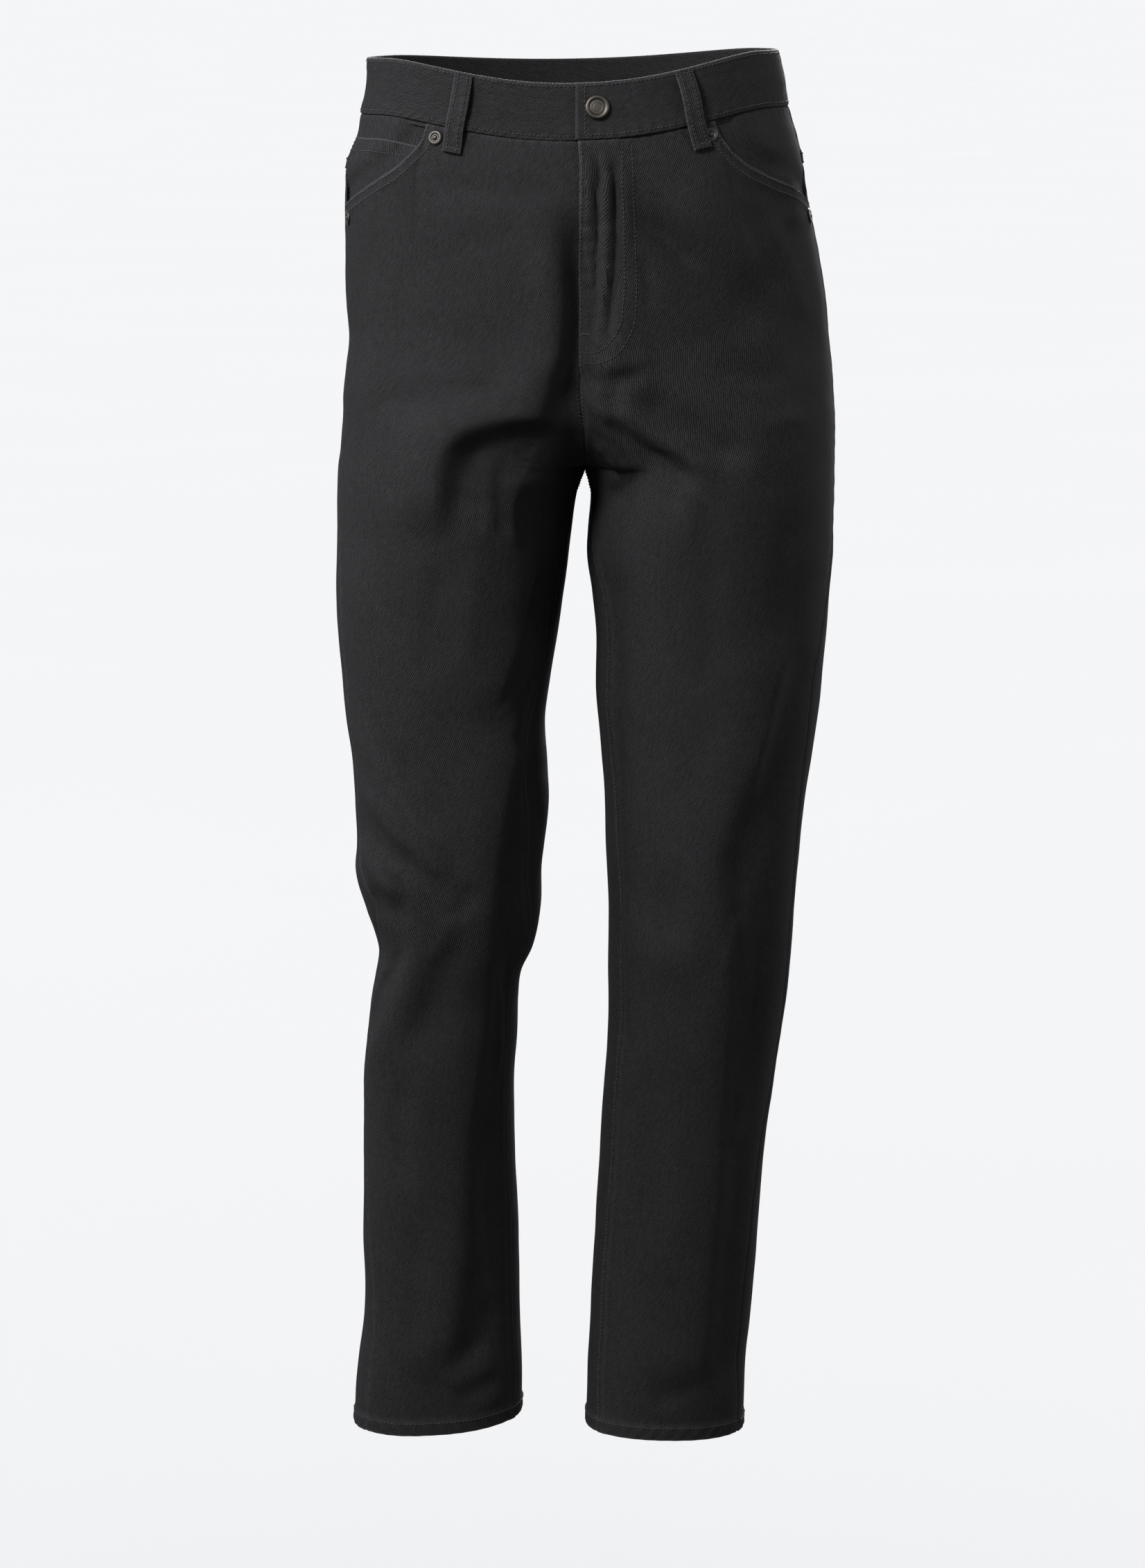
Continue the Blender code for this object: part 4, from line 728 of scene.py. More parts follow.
def back_turns(side, drop, shares):
    """The turns of the columns of a back piece, from the side seam to the centre seam and the inseam."""
    inner, outer = side.seam_turns(drop)
    inner = 360 + inner
    inner = np.where(drop <= CROTCH, side.turn_end(drop), inner)
    outer = outer + degrees_of(side, drop, outer, SEAM_HALF_GAP)
    inner = inner - np.where(drop <= CROTCH - 12, 0, degrees_of(side, drop, inner, SEAM_HALF_GAP))
    return outer + (inner - outer) * shares[None, :]


def yoke_net(name, shares, down):
    """The rows and columns of a yoke."""
    bottom = yoke_seam(shares)
    drop = PANEL_TOP + (bottom[None, :] - PANEL_TOP) * down[:, None]
    return drop, back_turns(SIDES[name], drop, shares)


def fly_lift(name, drop, turn):
    """How far the left front's fly stands out, and the right front's edge lies back under it."""
    side = SIDES[name]
    if name == "right":
        past = -(turn + side.turn_end(drop)) * FLY_DEGREE
        return np.interp(past, (-8, 0, 6), (0, -0.5, -0.9)) * (1 - ease((drop - 166) / 20))
    from_edge = np.abs(turn + side.turn_end(drop)) * FLY_DEGREE
    return FLY_LIFT * (1 - ease((from_edge - 14) / 24)) * (1 - ease((drop - 174) / (FLY_BOTTOM - 174)))


def hem_thickness(drop):
    """The cloth is turned up and doubled at the hem."""
    return DENIM * (1 + 0.8 * ease((drop - 979) / 5))


def layer(points, normals, out):
    return points + normals * np.asarray(out)[..., None]


def scoop_line(name):
    """The front pocket's edge as points in space."""
    points, _ = surface(SIDES[name], *scoop_knots(name))
    return polyline(points, 2.0)


def waist_point(drop, round_turn):
    """A point and normal of the waist. round_turn goes from the centre front by the wearer's left."""
    drop, round_turn = np.broadcast_arrays(np.asarray(drop, float), np.asarray(round_turn, float))
    on_left = np.mod(round_turn, 360) <= 180
    left, left_normals = surface(SIDES["left"], drop, np.mod(round_turn, 360) - 90)
    right, right_normals = surface(SIDES["right"], drop, 270 - np.mod(round_turn, 360))
    pick = on_left[..., None]
    return np.where(pick, left, right), np.where(pick, left_normals, right_normals)


# The belt loops: where their top and bottom ends stand, as round_turn in degrees.
LOOP_COLUMNS = ("name", "top", "bottom")
LOOP_ROWS = (
    ("belt_loop_front_left", 28.0, 31.0),
    ("belt_loop_back_left", 132.0, 131.0),
    ("belt_loop_back", 180.0, 180.0),
    ("belt_loop_back_right", 227.0, 228.0),
    ("belt_loop_front_right", 330.9, 328.6),
)
LOOP_WIDTH = 13.0
# The middle of the loop's cloth: how far down, and how far out.
LOOP_PATH = (
    (-18.6, 2.6), (-15.0, 2.8), (-10.0, 4.0), (-4.0, 4.8), (4.0, 5.1), (12.0, 5.0), (19.0, 4.6), (25.0, 3.9),
    (29.5, 2.9), (32.5, 2.4), (37.0, 2.1),
)


def loop_turns(centre, widths):
    """The round_turn of points that lie so many millimetres beside the middle of a loop."""
    beside = np.linspace(-10, 10, 81)
    line = waist_point(0.0, np.mean(centre) + beside)[0]
    lengths = np.append(0, np.cumsum(np.linalg.norm(np.diff(line, axis=0), axis=1)))
    return centre[:, None] + np.interp(widths, lengths - lengths[40], beside)[None, :]


def grid_normals(points, like):
    """Normals of a net of points from the net itself, on the same side as the given ones."""
    down = np.gradient(points, axis=0)
    round_way = np.gradient(points, axis=1)
    normals = unit(np.cross(down, round_way))
    way = np.sign(np.einsum("rcx,rcx->rc", normals, like))
    way = np.where(way == 0, 1, way)
    return normals * way[..., None]


def edge_lengths(points, axis):
    """For each point of a net, its distance from the first edge along an axis, and from the last."""
    steps = np.linalg.norm(np.diff(points, axis=axis), axis=-1)
    pad = [(1, 0), (0, 0)] if axis == 0 else [(0, 0), (1, 0)]
    length = np.cumsum(np.pad(steps, pad), axis=axis)
    whole = length[-1:, :] if axis == 0 else length[:, -1:]
    return length, whole - length


def spread_shares(knots, times, fine=(0.003, 0.008, 0.016)):
    """Shares that part each stretch between the knots evenly, with a few more close to both ends."""
    out = [np.linspace(a, b, n, endpoint=False) for a, b, n in zip(knots, knots[1:], times)]
    out = np.concatenate(out + [[1.0], fine, 1 - np.array(fine)])
    out = np.unique(np.round(out, 6))
    keep = np.concatenate([[True], np.diff(out) > 0.0012])
    out = out[keep]
    out[-1] = 1.0
    return out


# The cloth's materials ------------------------------------------------------------------------------------


class Nodes:
    """A short way to write a material's nodes."""

    def __init__(self, name):
        self.material = bpy.data.materials.new(name)
        self.material.use_nodes = True
        self.tree = self.material.node_tree
        self.shader = self.tree.nodes["Principled BSDF"]

    def put(self, socket, value):
        if isinstance(value, bpy.types.NodeSocket):
            self.tree.links.new(value, socket)
        else:
            socket.default_value = value

    def math(self, kind, *values, clamp=False):
        node = self.tree.nodes.new("ShaderNodeMath")
        node.operation = kind
        node.use_clamp = clamp
        for socket, value in zip(node.inputs, values):
            self.put(socket, value)
        return node.outputs[0]

    def place(self):
        """The place on the object itself, in metres."""
        return self.tree.nodes.new("ShaderNodeTexCoord").outputs["Object"]

    def attribute(self, name, output):
        node = self.tree.nodes.new("ShaderNodeAttribute")
        node.attribute_name = name
        return node.outputs[output]

    def parts(self, vector):
        node = self.tree.nodes.new("ShaderNodeSeparateXYZ")
        self.put(node.inputs[0], vector)
        return node.outputs

    def vector(self, x, y, z):
        node = self.tree.nodes.new("ShaderNodeCombineXYZ")
        for socket, value in zip(node.inputs, (x, y, z)):
            self.put(socket, value)
        return node.outputs[0]

    def noise(self, vector, scale, detail=3.0, rough=0.55):
        node = self.tree.nodes.new("ShaderNodeTexNoise")
        self.put(node.inputs["Vector"], vector)
        node.inputs["Scale"].default_value = scale
        node.inputs["Detail"].default_value = detail
        node.inputs["Roughness"].default_value = rough
        return node.outputs["Fac"]

    def spread(self, value, gain):
        """A noise's narrow range, widened to the whole of 0 to 1."""
        return self.math("MULTIPLY_ADD", self.math("SUBTRACT", value, 0.5), gain, 0.5, clamp=True)

    def mix(self, share, one, two):
        node = self.tree.nodes.new("ShaderNodeMix")
        node.data_type = "RGBA"
        self.put(node.inputs[0], share)
        self.put(node.inputs[6], one)
        self.put(node.inputs[7], two)
        return node.outputs[2]

    def bump(self, height, distance, strength, normal=None):
        node = self.tree.nodes.new("ShaderNodeBump")
        self.put(node.inputs["Height"], height)
        node.inputs["Distance"].default_value = distance
        node.inputs["Strength"].default_value = strength
        if normal is not None:
            self.put(node.inputs["Normal"], normal)
        return node.outputs[0]


TWILL_PITCH = 1.27
TWILL_SLOPE = 61.0
WARP_PITCH = 0.62


def denim(name, dark, light, worn):
    """Black twill denim. The cloth attribute holds the place on the cut cloth in millimetres, and the second
    attribute holds its rubbed edges together with a slight painted highlight on raised folds, from 0 to 1; both
    are stored on the mesh. worn is the paler colour that both of these mix to."""
    n = Nodes(name)
    cloth = n.parts(n.attribute("cloth", "Vector"))
    wear_and_crest_highlight = n.attribute("wear_and_crest_highlight", "Fac")
    u, v = cloth[0], cloth[1]
    rise, run = math.sin(math.radians(TWILL_SLOPE)), math.cos(math.radians(TWILL_SLOPE))
    across = n.math("ADD", n.math("MULTIPLY", u, rise), n.math("MULTIPLY", v, run))
    along = n.math("SUBTRACT", n.math("MULTIPLY", u, run), n.math("MULTIPLY", v, rise))
    wobble = n.noise(n.vector(u, v, 0.0), 0.09, 2.0)
    line = n.math("MULTIPLY_ADD", wobble, 1.6, across)
    line = n.math("SINE", n.math("MULTIPLY", line, 2 * math.pi / TWILL_PITCH))
    line = n.math("MULTIPLY_ADD", line, 0.5, 0.5)
    # Warp threads, which run down the leg and break up the twill line.
    thread = n.math("SINE", n.math("MULTIPLY", u, 2 * math.pi / WARP_PITCH))
    weave = n.math("MULTIPLY", line, n.math("MULTIPLY_ADD", thread, 0.2, 0.8))
    # Specks of single threads, streaks along the twill, slubs down the warp, and slow changes of the dye.
    speck = n.spread(n.noise(n.vector(u, v, 3.0), 1.05, 2.0, 0.7), 3.2)
    streak = n.vector(n.math("MULTIPLY", along, 0.16), n.math("MULTIPLY", across, 0.62), 0.0)
    streak = n.spread(n.noise(streak, 1.0), 2.6)
    slub = n.vector(n.math("MULTIPLY", u, 0.8), n.math("MULTIPLY", v, 0.05), 6.0)
    slub = n.spread(n.noise(slub, 1.0), 2.4)
    patch = n.spread(n.noise(n.vector(u, v, 9.0), 0.02, 4.0, 0.62), 1.6)
    tone = n.math("MULTIPLY_ADD", weave, 0.72, -0.22)
    for part, share in ((speck, 0.34), (streak, 0.20), (slub, 0.10), (patch, 0.10)):
        tone = n.math("MULTIPLY_ADD", part, share, tone)
    colour = n.mix(n.math("MAXIMUM", tone, 0.0, clamp=True), (*dark, 1), (*light, 1))
    # Rubbed edges, and the painted highlight on raised folds, mix the colour towards the paler worn colour.
    rub_and_highlight = n.math("MULTIPLY", wear_and_crest_highlight, n.math("MULTIPLY_ADD", speck, 0.9, 0.25), clamp=True)
    colour = n.mix(rub_and_highlight, colour, (*worn, 1))
    n.put(n.shader.inputs["Base Color"], colour)
    n.put(n.shader.inputs["Roughness"], n.math("MULTIPLY_ADD", speck, 0.12, 0.80))
    n.shader.inputs["Specular IOR Level"].default_value = 0.04
    coarse = n.bump(weave, 0.00022, 0.8)
    n.put(n.shader.inputs["Normal"], n.bump(speck, 0.00012, 0.6, coarse))
    return n.material


# Dark and light threads of the twill, and the paler colour of rubbed edges, which also gives the painted
# highlight on raised folds.
DARK = (0.0006, 0.00056, 0.0006)
LIGHT = (0.0126, 0.0118, 0.0125)
WEAR_AND_HIGHLIGHT_COLOUR = (0.0175, 0.0167, 0.0175)
DENIM_LEG = denim("denim", DARK, LIGHT, WEAR_AND_HIGHLIGHT_COLOUR)
DENIM_SMALL = denim("denim_doubled", (0.0007, 0.00066, 0.0007), (0.0132, 0.0124, 0.0131), WEAR_AND_HIGHLIGHT_COLOUR)


def thread_material():
    n = Nodes("thread")
    place = n.place()
    grain = n.noise(place, 2600.0, 2.0)
    colour = n.mix(grain, (0.0044, 0.0043, 0.0046, 1), (0.0150, 0.0147, 0.0156, 1))
    n.put(n.shader.inputs["Base Color"], colour)
    n.shader.inputs["Roughness"].default_value = 0.6
    n.shader.inputs["Specular IOR Level"].default_value = 0.1
    n.put(n.shader.inputs["Normal"], n.bump(grain, 0.0001, 0.6))
    return n.material


def metal_material(name, base, rough, fleck):
    """Plated metal with the small scuffs that handling leaves on it."""
    n = Nodes(name)
    place = n.place()
    scuff = n.noise(place, 900.0, 4.0, 0.65)
    cloud = n.noise(place, 240.0, 2.0)
    colour = n.mix(n.math("MULTIPLY", cloud, fleck), (*base, 1), (0.080, 0.076, 0.070, 1))
    n.put(n.shader.inputs["Base Color"], colour)
    n.shader.inputs["Metallic"].default_value = 1.0
    n.put(n.shader.inputs["Roughness"], n.math("MULTIPLY_ADD", scuff, 0.22, rough))
    n.put(n.shader.inputs["Normal"], n.bump(scuff, 0.00005, 0.5))
    return n.material


def tape_material():
    n = Nodes("tape")
    place = n.place()
    rib = n.tree.nodes.new("ShaderNodeTexWave")
    n.put(rib.inputs["Vector"], place)
    rib.inputs["Scale"].default_value = 600.0
    rib.inputs["Distortion"].default_value = 0.5
    colour = n.mix(rib.outputs["Fac"], (0.010, 0.010, 0.011, 1), (0.024, 0.024, 0.026, 1))
    n.put(n.shader.inputs["Base Color"], colour)
    n.shader.inputs["Roughness"].default_value = 0.85
    n.put(n.shader.inputs["Normal"], n.bump(rib.outputs["Fac"], 0.0002, 0.6))
    return n.material


THREAD = thread_material()
BUTTON_METAL = metal_material("button_metal", (0.0215, 0.0195, 0.0170), 0.42, 0.12)
RIVET_METAL = metal_material("rivet_metal", (0.0165, 0.0155, 0.0145), 0.42, 0.12)
TAPE = tape_material()


# Meshes ---------------------------------------------------------------------------------------------------


def shell(node, outside, inside, cloth, wear_and_crest_highlight, material, slot="denim", crease=50.0):
    """The cloth of a CAD node: a closed wall from two nets of points, with its place stored on it, and its wear
    together with the painted highlight on raised folds.
    """
    rows, columns = outside.shape[:2]
    under = rows * columns
    verts = np.concatenate([outside.reshape(-1, 3), inside.reshape(-1, 3)]) * MM
    r, c = np.meshgrid(np.arange(rows - 1), np.arange(columns - 1), indexing="ij")
    a = (r * columns + c).ravel()
    top = np.stack([a, a + columns, a + columns + 1, a + 1], axis=1)
    ring = np.concatenate(
        [
            np.arange(columns),
            np.arange(1, rows) * columns + columns - 1,
            (rows - 1) * columns + np.arange(columns - 2, -1, -1),
            np.arange(rows - 2, 0, -1) * columns,
        ]
    )
    after = np.roll(ring, -1)
    wall = np.stack([ring, after, under + after, under + ring], axis=1)
    faces = np.concatenate([top, under + top[:, ::-1], wall])
    # The sign of the volume says whether the faces point outwards.
    a0, b0, c0, d0 = (verts[faces[:, k]] for k in range(4))
    volume = sum(np.einsum("nx,nx->n", a0, np.cross(*pair)).sum() for pair in ((b0, c0), (c0, d0)))
    if volume < 0:
        faces = faces[:, ::-1]
    obj = mesh_object(node + "_cloth", verts, faces, material, crease)
    place = np.zeros((2 * under, 3), np.float32)
    place[:under, :2] = cloth.reshape(-1, 2)
    place[under:, :2] = cloth.reshape(-1, 2)
    amount = np.zeros(2 * under, np.float32)
    amount[:under] = wear_and_crest_highlight.ravel()
    amount[under:] = wear_and_crest_highlight.ravel() * 0.3
    obj.data.attributes.new("cloth", "FLOAT_VECTOR", "POINT").data.foreach_set("vector", place.ravel())
    obj.data.attributes.new("wear_and_crest_highlight", "FLOAT", "POINT").data.foreach_set("value", amount)
    dress(obj, node)


def mesh_object(name, verts, faces, material, crease):
    """A smooth mesh, with sharp edges where it turns by more than the crease in degrees."""
    mesh = bpy.data.meshes.new(name)
    verts = np.asarray(verts, np.float32)
    faces = np.asarray(faces, np.int32)
    size = faces.shape[1]
    mesh.vertices.add(len(verts))
    mesh.vertices.foreach_set("co", verts.ravel())
    mesh.loops.add(faces.size)
    mesh.loops.foreach_set("vertex_index", faces.ravel())
    mesh.polygons.add(len(faces))
    mesh.polygons.foreach_set("loop_start", np.arange(0, faces.size, size, dtype=np.int32))
    mesh.update(calc_edges=True)
    mesh.validate()
    mesh.polygons.foreach_set("use_smooth", np.ones(len(mesh.polygons), bool))
    mesh.set_sharp_from_angle(angle=math.radians(crease))
    mesh.materials.append(material)
    obj = bpy.data.objects.new(name, mesh)
    bpy.context.scene.collection.objects.link(obj)
    return obj


def dress(obj, *nodes):
    """The piece rides on the part's one body and stands for the CAD nodes."""
    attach(obj, "root")
    if nodes:
        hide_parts(*nodes)


class Stitches:
    """Topstitching: short rounded bars that dip into the cloth at both ends, all in one mesh."""

    LENGTH = 2.55
    SPACE = 0.45
    HALF_WIDTH = 0.30
    SIDES = 6
    TACK_STEP = 0.55
    # Along a stitch: how far along it, how high, and how thick.
    RINGS = ((0.0, -0.25, 0.45), (0.12, 0.10, 0.85), (0.38, 0.30, 1.0), (0.62, 0.30, 1.0), (0.88, 0.10, 0.85),
             (1.0, -0.25, 0.45))

    def __init__(self, name):
        self.name = name
        self.verts = []
        self.faces = []
        self.count = 0

    def run(self, points, normals, lift=0.1, length=LENGTH, thick=1.0):
        """A row of stitches along a line on the cloth."""
        points = np.asarray(points, float)
        at = np.concatenate([[0], np.cumsum(np.linalg.norm(np.diff(points, axis=0), axis=1))])
        pitch = length + self.SPACE
        count = int(at[-1] // pitch)
        if count < 1:
            return
        pitch = at[-1] / count
        rings = np.array(self.RINGS)
        starts = np.arange(count) * pitch
        jitter = 0.07 * np.sin(starts * 3.7) + 0.05 * np.sin(starts * 1.3 + 1)
        spots = starts[:, None] + rings[None, :, 0] * (pitch - self.SPACE)
        line = along_line(spots, at, points)
        up = unit(along_line(spots, at, np.asarray(normals)))
        along = along_line(spots[:, [0, -1]], at, points)
        along = unit(along[:, 1] - along[:, 0])[:, None, :]
        over = unit(np.cross(up, along))
        line = line + up * (rings[None, :, 1:2] + lift) + over * jitter[:, None, None]
        angles = 2 * math.pi * np.arange(self.SIDES) / self.SIDES
        radius = self.HALF_WIDTH * thick * rings[None, :, 2]
        ring = (
            line[:, :, None, :]
            + over[:, :, None, :] * (np.cos(angles)[None, None, :, None] * radius[..., None, None])
            + up[:, :, None, :] * (np.sin(angles)[None, None, :, None] * radius[..., None, None] * 0.8)
        )
        base = self.count
        self.verts.append(ring.reshape(-1, 3))
        n_rings, sides = len(rings), self.SIDES
        each = n_rings * sides
        k = np.arange(count)[:, None, None] * each
        r = np.arange(n_rings - 1)[None, :, None] * sides
        s = np.arange(sides)[None, None, :]
        t = (s + 1) % sides
        a, b = k + r + s, k + r + t
        self.faces.append(base + np.stack([a, b, b + sides, a + sides], axis=-1).reshape(-1, 4))
        # The two ends, each as two four-sided faces.
        last = n_rings - 1
        ends = ((0, (0, 1, 2, 3)), (0, (0, 3, 4, 5)), (last, (3, 2, 1, 0)), (last, (5, 4, 3, 0)))
        for ring_at, order in ends:
            corner = np.array(order)[::-1] + ring_at * sides
            self.faces.append(base + np.arange(count)[:, None] * each + corner[None, :])
        self.count += count * each

    def tack(self, points, normals, width, lift=0.1):
        """A bar tack: short threads side by side across a line."""
        points = np.asarray(points, float)
        normals = np.asarray(normals, float)
        along = unit(points[-1] - points[0])
        over = unit(np.cross(normals.mean(axis=0), along))
        length = float(np.linalg.norm(points[-1] - points[0]))
        for k in range(int(length / self.TACK_STEP) + 1):
            share = k * self.TACK_STEP / length
            middle = points[0] + (points[-1] - points[0]) * share
            skew = along * 0.25 * (1 if k % 2 else -1)
            ends = np.stack([middle - over * width / 2 - skew, middle + over * width / 2 + skew])
            self.run(ends, np.stack([normals[0], normals[-1]]), lift, length=width - 0.4, thick=0.85)

    def make(self):
        verts = np.concatenate(self.verts) * MM
        faces = np.concatenate(self.faces)
        obj = mesh_object(self.name, verts, faces, THREAD, 80.0)
        dress(obj)


STITCH = {name: Stitches("stitches_" + name) for name in ("fronts", "backs", "waist", "hems", "seams")}


# The leg panels -------------------------------------------------------------------------------------------

PANEL_NETS = {}


def rows_between(first, last, step):
    """Even rows from the first to the last, with two more close to each end."""
    out = list(np.linspace(first, last, int((last - first) / step) + 1))
    return np.array(sorted(out + [first + 0.7, first + 1.8, last - 0.7, last - 1.8]))


def groove(edge, deep=0.45, wide=1.1):
    """The cloth dips into a seam."""
    return -deep * bell(edge, wide)


def allowance(edge, wide=9.0, high=0.55):
    """The seam's turned cloth makes a low step beside it."""
    return high * (1 - ease((edge - wide) / 2.5)) * ease(edge / 1.6)


def pucker(along, edge, pitch, high, reach):
    """The small ripples that sewing pulls into an edge."""
    phase = along / pitch * 2 * math.pi + 1.7 * np.sin(along / 37.0) + 0.9 * np.sin(along / 13.0)
    strength = 0.65 + 0.35 * np.sin(along / 53.0 + 1.0)
    return high * strength * np.sin(phase) * bell(edge, reach)


# The turn of the straight warp line down the middle of each leg panel.
WARP_TURNS = {"front": -64.0, "back": 56.0}


def warp_place(side, kind, drop, turn, edge_out):
    """The place of each point on the flat cut cloth: across and down, in millimetres, seen from outside."""
    middle = WARP_TURNS["front" if kind == "front" else "back"]
    start = [np.interp(middle, *(line[np.argsort(t)] for line in (t, e))) for t, e in zip(turn, edge_out)]
    across = (edge_out - np.array(start)[:, None]) * np.where(kind == "front", -side.sign, side.sign)
    return np.stack([across, -side.points(drop, turn)[..., 2]], axis=-1)


def sew_front(name, shares, points, drop, edge, detail, wear_and_crest_highlight):
    """What the sewing does to a front: its pocket's edge, side seam, waist seam, fly and centre seam."""
    below = ease((drop - 100) / 12)
    close = (drop < 130) & (edge["out"] < 140)
    gap = np.full(drop.shape, 999.0)
    _, away = nearest_on(scoop_line(name), points[close])
    gap[close] = np.linalg.norm(away, axis=1)
    # The pocket's edge is turned under, so it is thicker, and its stitching pulls it into small ripples.
    detail += allowance(gap, 8.5, 0.5)
    detail += pucker(edge["out"] + drop, gap, 8.5, 0.28, 5.5)
    wear_and_crest_highlight += 0.85 * bell(gap, 1.3) + 0.22 * np.exp(-((gap - 6.5) ** 2) / 3)
    detail += groove(edge["out"]) * below
    detail += pucker(drop, edge["out"], 13.0, 0.22, 6.0) * below
    wear_and_crest_highlight += 0.45 * bell(edge["out"], 1.6) * below
    waist = edge["top"] + 200 * (shares[None, :] < SCOOP_COLUMN)
    detail += groove(waist, 0.4)
    detail += pucker(edge["in"], waist, 9.0, 0.25, 6.0)
    wear_and_crest_highlight += 0.25 * bell(waist, 2.0)
    if name == "left":
        in_fly = 1 - ease((drop - FLY_BOTTOM) / 6)
        detail += 0.35 * (1 - ease((edge["in"] - 7) / 2)) * in_fly
        detail -= 0.35 * bell(edge["in"], 0.8) * in_fly
        detail += pucker(drop, edge["in"], 9.0, 0.22, 5.0) * in_fly
        wear_and_crest_highlight += 0.8 * bell(edge["in"], 1.2) * in_fly
    centre = ease((drop - FLY_BOTTOM - 2) / 6)
    detail += (groove(edge["in"]) + allowance(edge["in"], 8.0, 0.6)) * centre
    detail += pucker(drop, edge["in"], 8.5, 0.3, 6.5) * centre
    wear_and_crest_highlight += 0.5 * bell(edge["in"], 1.4) * centre
    wear_and_crest_highlight += 0.16 * np.exp(-((edge["in"] - 6.5) ** 2) / 4) * centre


def sew_back(kind, drop, edge, detail, wear_and_crest_highlight):
    """What the sewing does to a back panel or a yoke: its side, centre, yoke and waist seams."""
    detail += groove(edge["out"]) + allowance(edge["out"], 10.0, 0.45)
    detail += pucker(drop, edge["out"], 13.0, 0.25, 7.0)
    wear_and_crest_highlight += 0.35 * bell(edge["out"], 1.6)
    detail += groove(edge["in"])
    detail += pucker(drop, edge["in"], 8.5, 0.3, 6.5)
    wear_and_crest_highlight += 0.4 * bell(edge["in"], 1.5)
    if kind == "yoke":
        detail += groove(edge["bottom"], 0.5) + allowance(edge["bottom"], 8.0, 0.55)
        detail += pucker(edge["out"], edge["bottom"], 9.0, 0.28, 6.0)
        detail += groove(edge["top"], 0.4) + pucker(edge["out"], edge["top"], 9.0, 0.25, 6.0)
        wear_and_crest_highlight += 0.5 * bell(edge["bottom"], 1.5)
    else:
        detail += groove(edge["top"], 0.5)
        detail += pucker(edge["out"], edge["top"], 9.0, 0.25, 6.0)
        wear_and_crest_highlight += 0.3 * bell(edge["top"], 1.5)


def sew_hem(edge, detail, wear_and_crest_highlight):
    """The hem: turned up, a little thicker, and twisted by its sewing."""
    high = edge["bottom"]
    detail += 0.75 * (1 - ease((high - 9.5) / 1.8))
    detail -= 0.5 * bell(high, 0.9)
    twist = pucker(edge["out"] + 0.8 * high, np.abs(high - 5), 11.0, 0.42, 6.0)
    detail += twist
    wear_and_crest_highlight += 0.95 * bell(high, 1.4) + 0.25 * np.exp(-((high - 10.5) ** 2) / 3)
    wear_and_crest_highlight += 0.25 * np.clip(twist, 0, 1)


def panel(name, kind, rows, shares):
    """One leg panel or yoke, with what its seams do to it. Its net is kept for the stitches."""
    side = SIDES[name]
    net = {"front": front_net, "back": back_net, "yoke": yoke_net}[kind]
    drop, turn = net(name, shares, rows)
    points = hold_centre(side, drop, turn, folded(side, drop, turn))
    like = plain_normals(side, drop, turn)
    normals = grid_normals(points, like)
    edge = dict(zip(("out", "in", "top", "bottom"), edge_lengths(points, 1) + edge_lengths(points, 0)))
    detail, wear_and_crest_highlight = np.zeros(drop.shape), np.zeros(drop.shape)
    if kind == "front":
        sew_front(name, shares, points, drop, edge, detail, wear_and_crest_highlight)
    else:
        sew_back(kind, drop, edge, detail, wear_and_crest_highlight)
    if kind != "yoke":
        sew_hem(edge, detail, wear_and_crest_highlight)
    # Painted highlight: raised folds are made a little paler than hollow ones, in step with their height above
    # the form.
    height = np.einsum("rcx,rcx->rc", points - side.points(drop, turn), like)
    wear_and_crest_highlight += 0.05 * np.clip(height / 4, 0, 1)
    lift = fly_lift(name, drop, turn) if kind == "front" else 0 * drop
    outside = hold_centre(side, drop, turn, points + normals * (lift + detail)[..., None])
    normals = grid_normals(outside, like)
    inside = hold_centre(side, drop, turn, layer(points, normals, lift - hem_thickness(drop)))
    cloth = warp_place(side, kind, drop, turn, edge["out"])
    shell(kind + "_" + name, outside, inside, cloth, np.clip(wear_and_crest_highlight, 0, 1), DENIM_LEG)
    PANEL_NETS[kind, name] = {"points": outside, "normals": normals, "drop": drop, **edge}


def line_at(net, dist, value, spots=None, by_row=False):
    """The line where a distance from an edge of a net has one value, column by column or row by row."""
    line, ways = [], []
    for k in range(dist.shape[0 if by_row else 1]) if spots is None else spots:
        d, p, n = (grid[k] if by_row else grid[:, k] for grid in (dist, net["points"], net["normals"]))
        order = np.argsort(d, kind="stable")
        line.append(along_line(value, d[order], p[order]))
        ways.append(along_line(value, d[order], n[order]))
    return np.array(line), unit(np.array(ways))


def inset_line(net, distance, low, high):
    """The line on a panel that runs at a distance from its inner edge, between two levels."""
    rows = [
        k for k, level in enumerate(net["drop"][:, -1])
        if low <= level <= high and net["in"][k].max() >= distance
    ]
    return line_at(net, net["in"], distance, rows, by_row=True)


def settle(net, points):
    """Moves points on to a piece's outside, and gives the outward normals there."""
    points = np.asarray(points, float)
    grid, ways = net["points"].reshape(-1, 3), net["normals"].reshape(-1, 3)
    low, high = points.min(axis=0) - 12, points.max(axis=0) + 12
    close = np.all((grid > low) & (grid < high), axis=1)
    grid, ways = grid[close], ways[close]
    away = grid[None, :, :] - points[:, None, :]
    far = np.einsum("nkc,nkc->nk", away, away)
    order = np.argpartition(far, 5, axis=1)[:, :5]
    pick = np.take_along_axis(far, order, axis=1)
    weight = 1 / (pick + 0.05)
    weight = weight / weight.sum(axis=1, keepdims=True)
    normal = unit(np.einsum("nk,nkc->nc", weight, ways[order]))
    step = np.einsum("nkc,nkc->nk", grid[order] - points[:, None, :], ways[order])
    step = step / np.clip(np.einsum("nc,nkc->nk", normal, ways[order]), 0.5, 1)
    return points + normal * np.einsum("nk,nk->n", weight, step)[:, None], normal


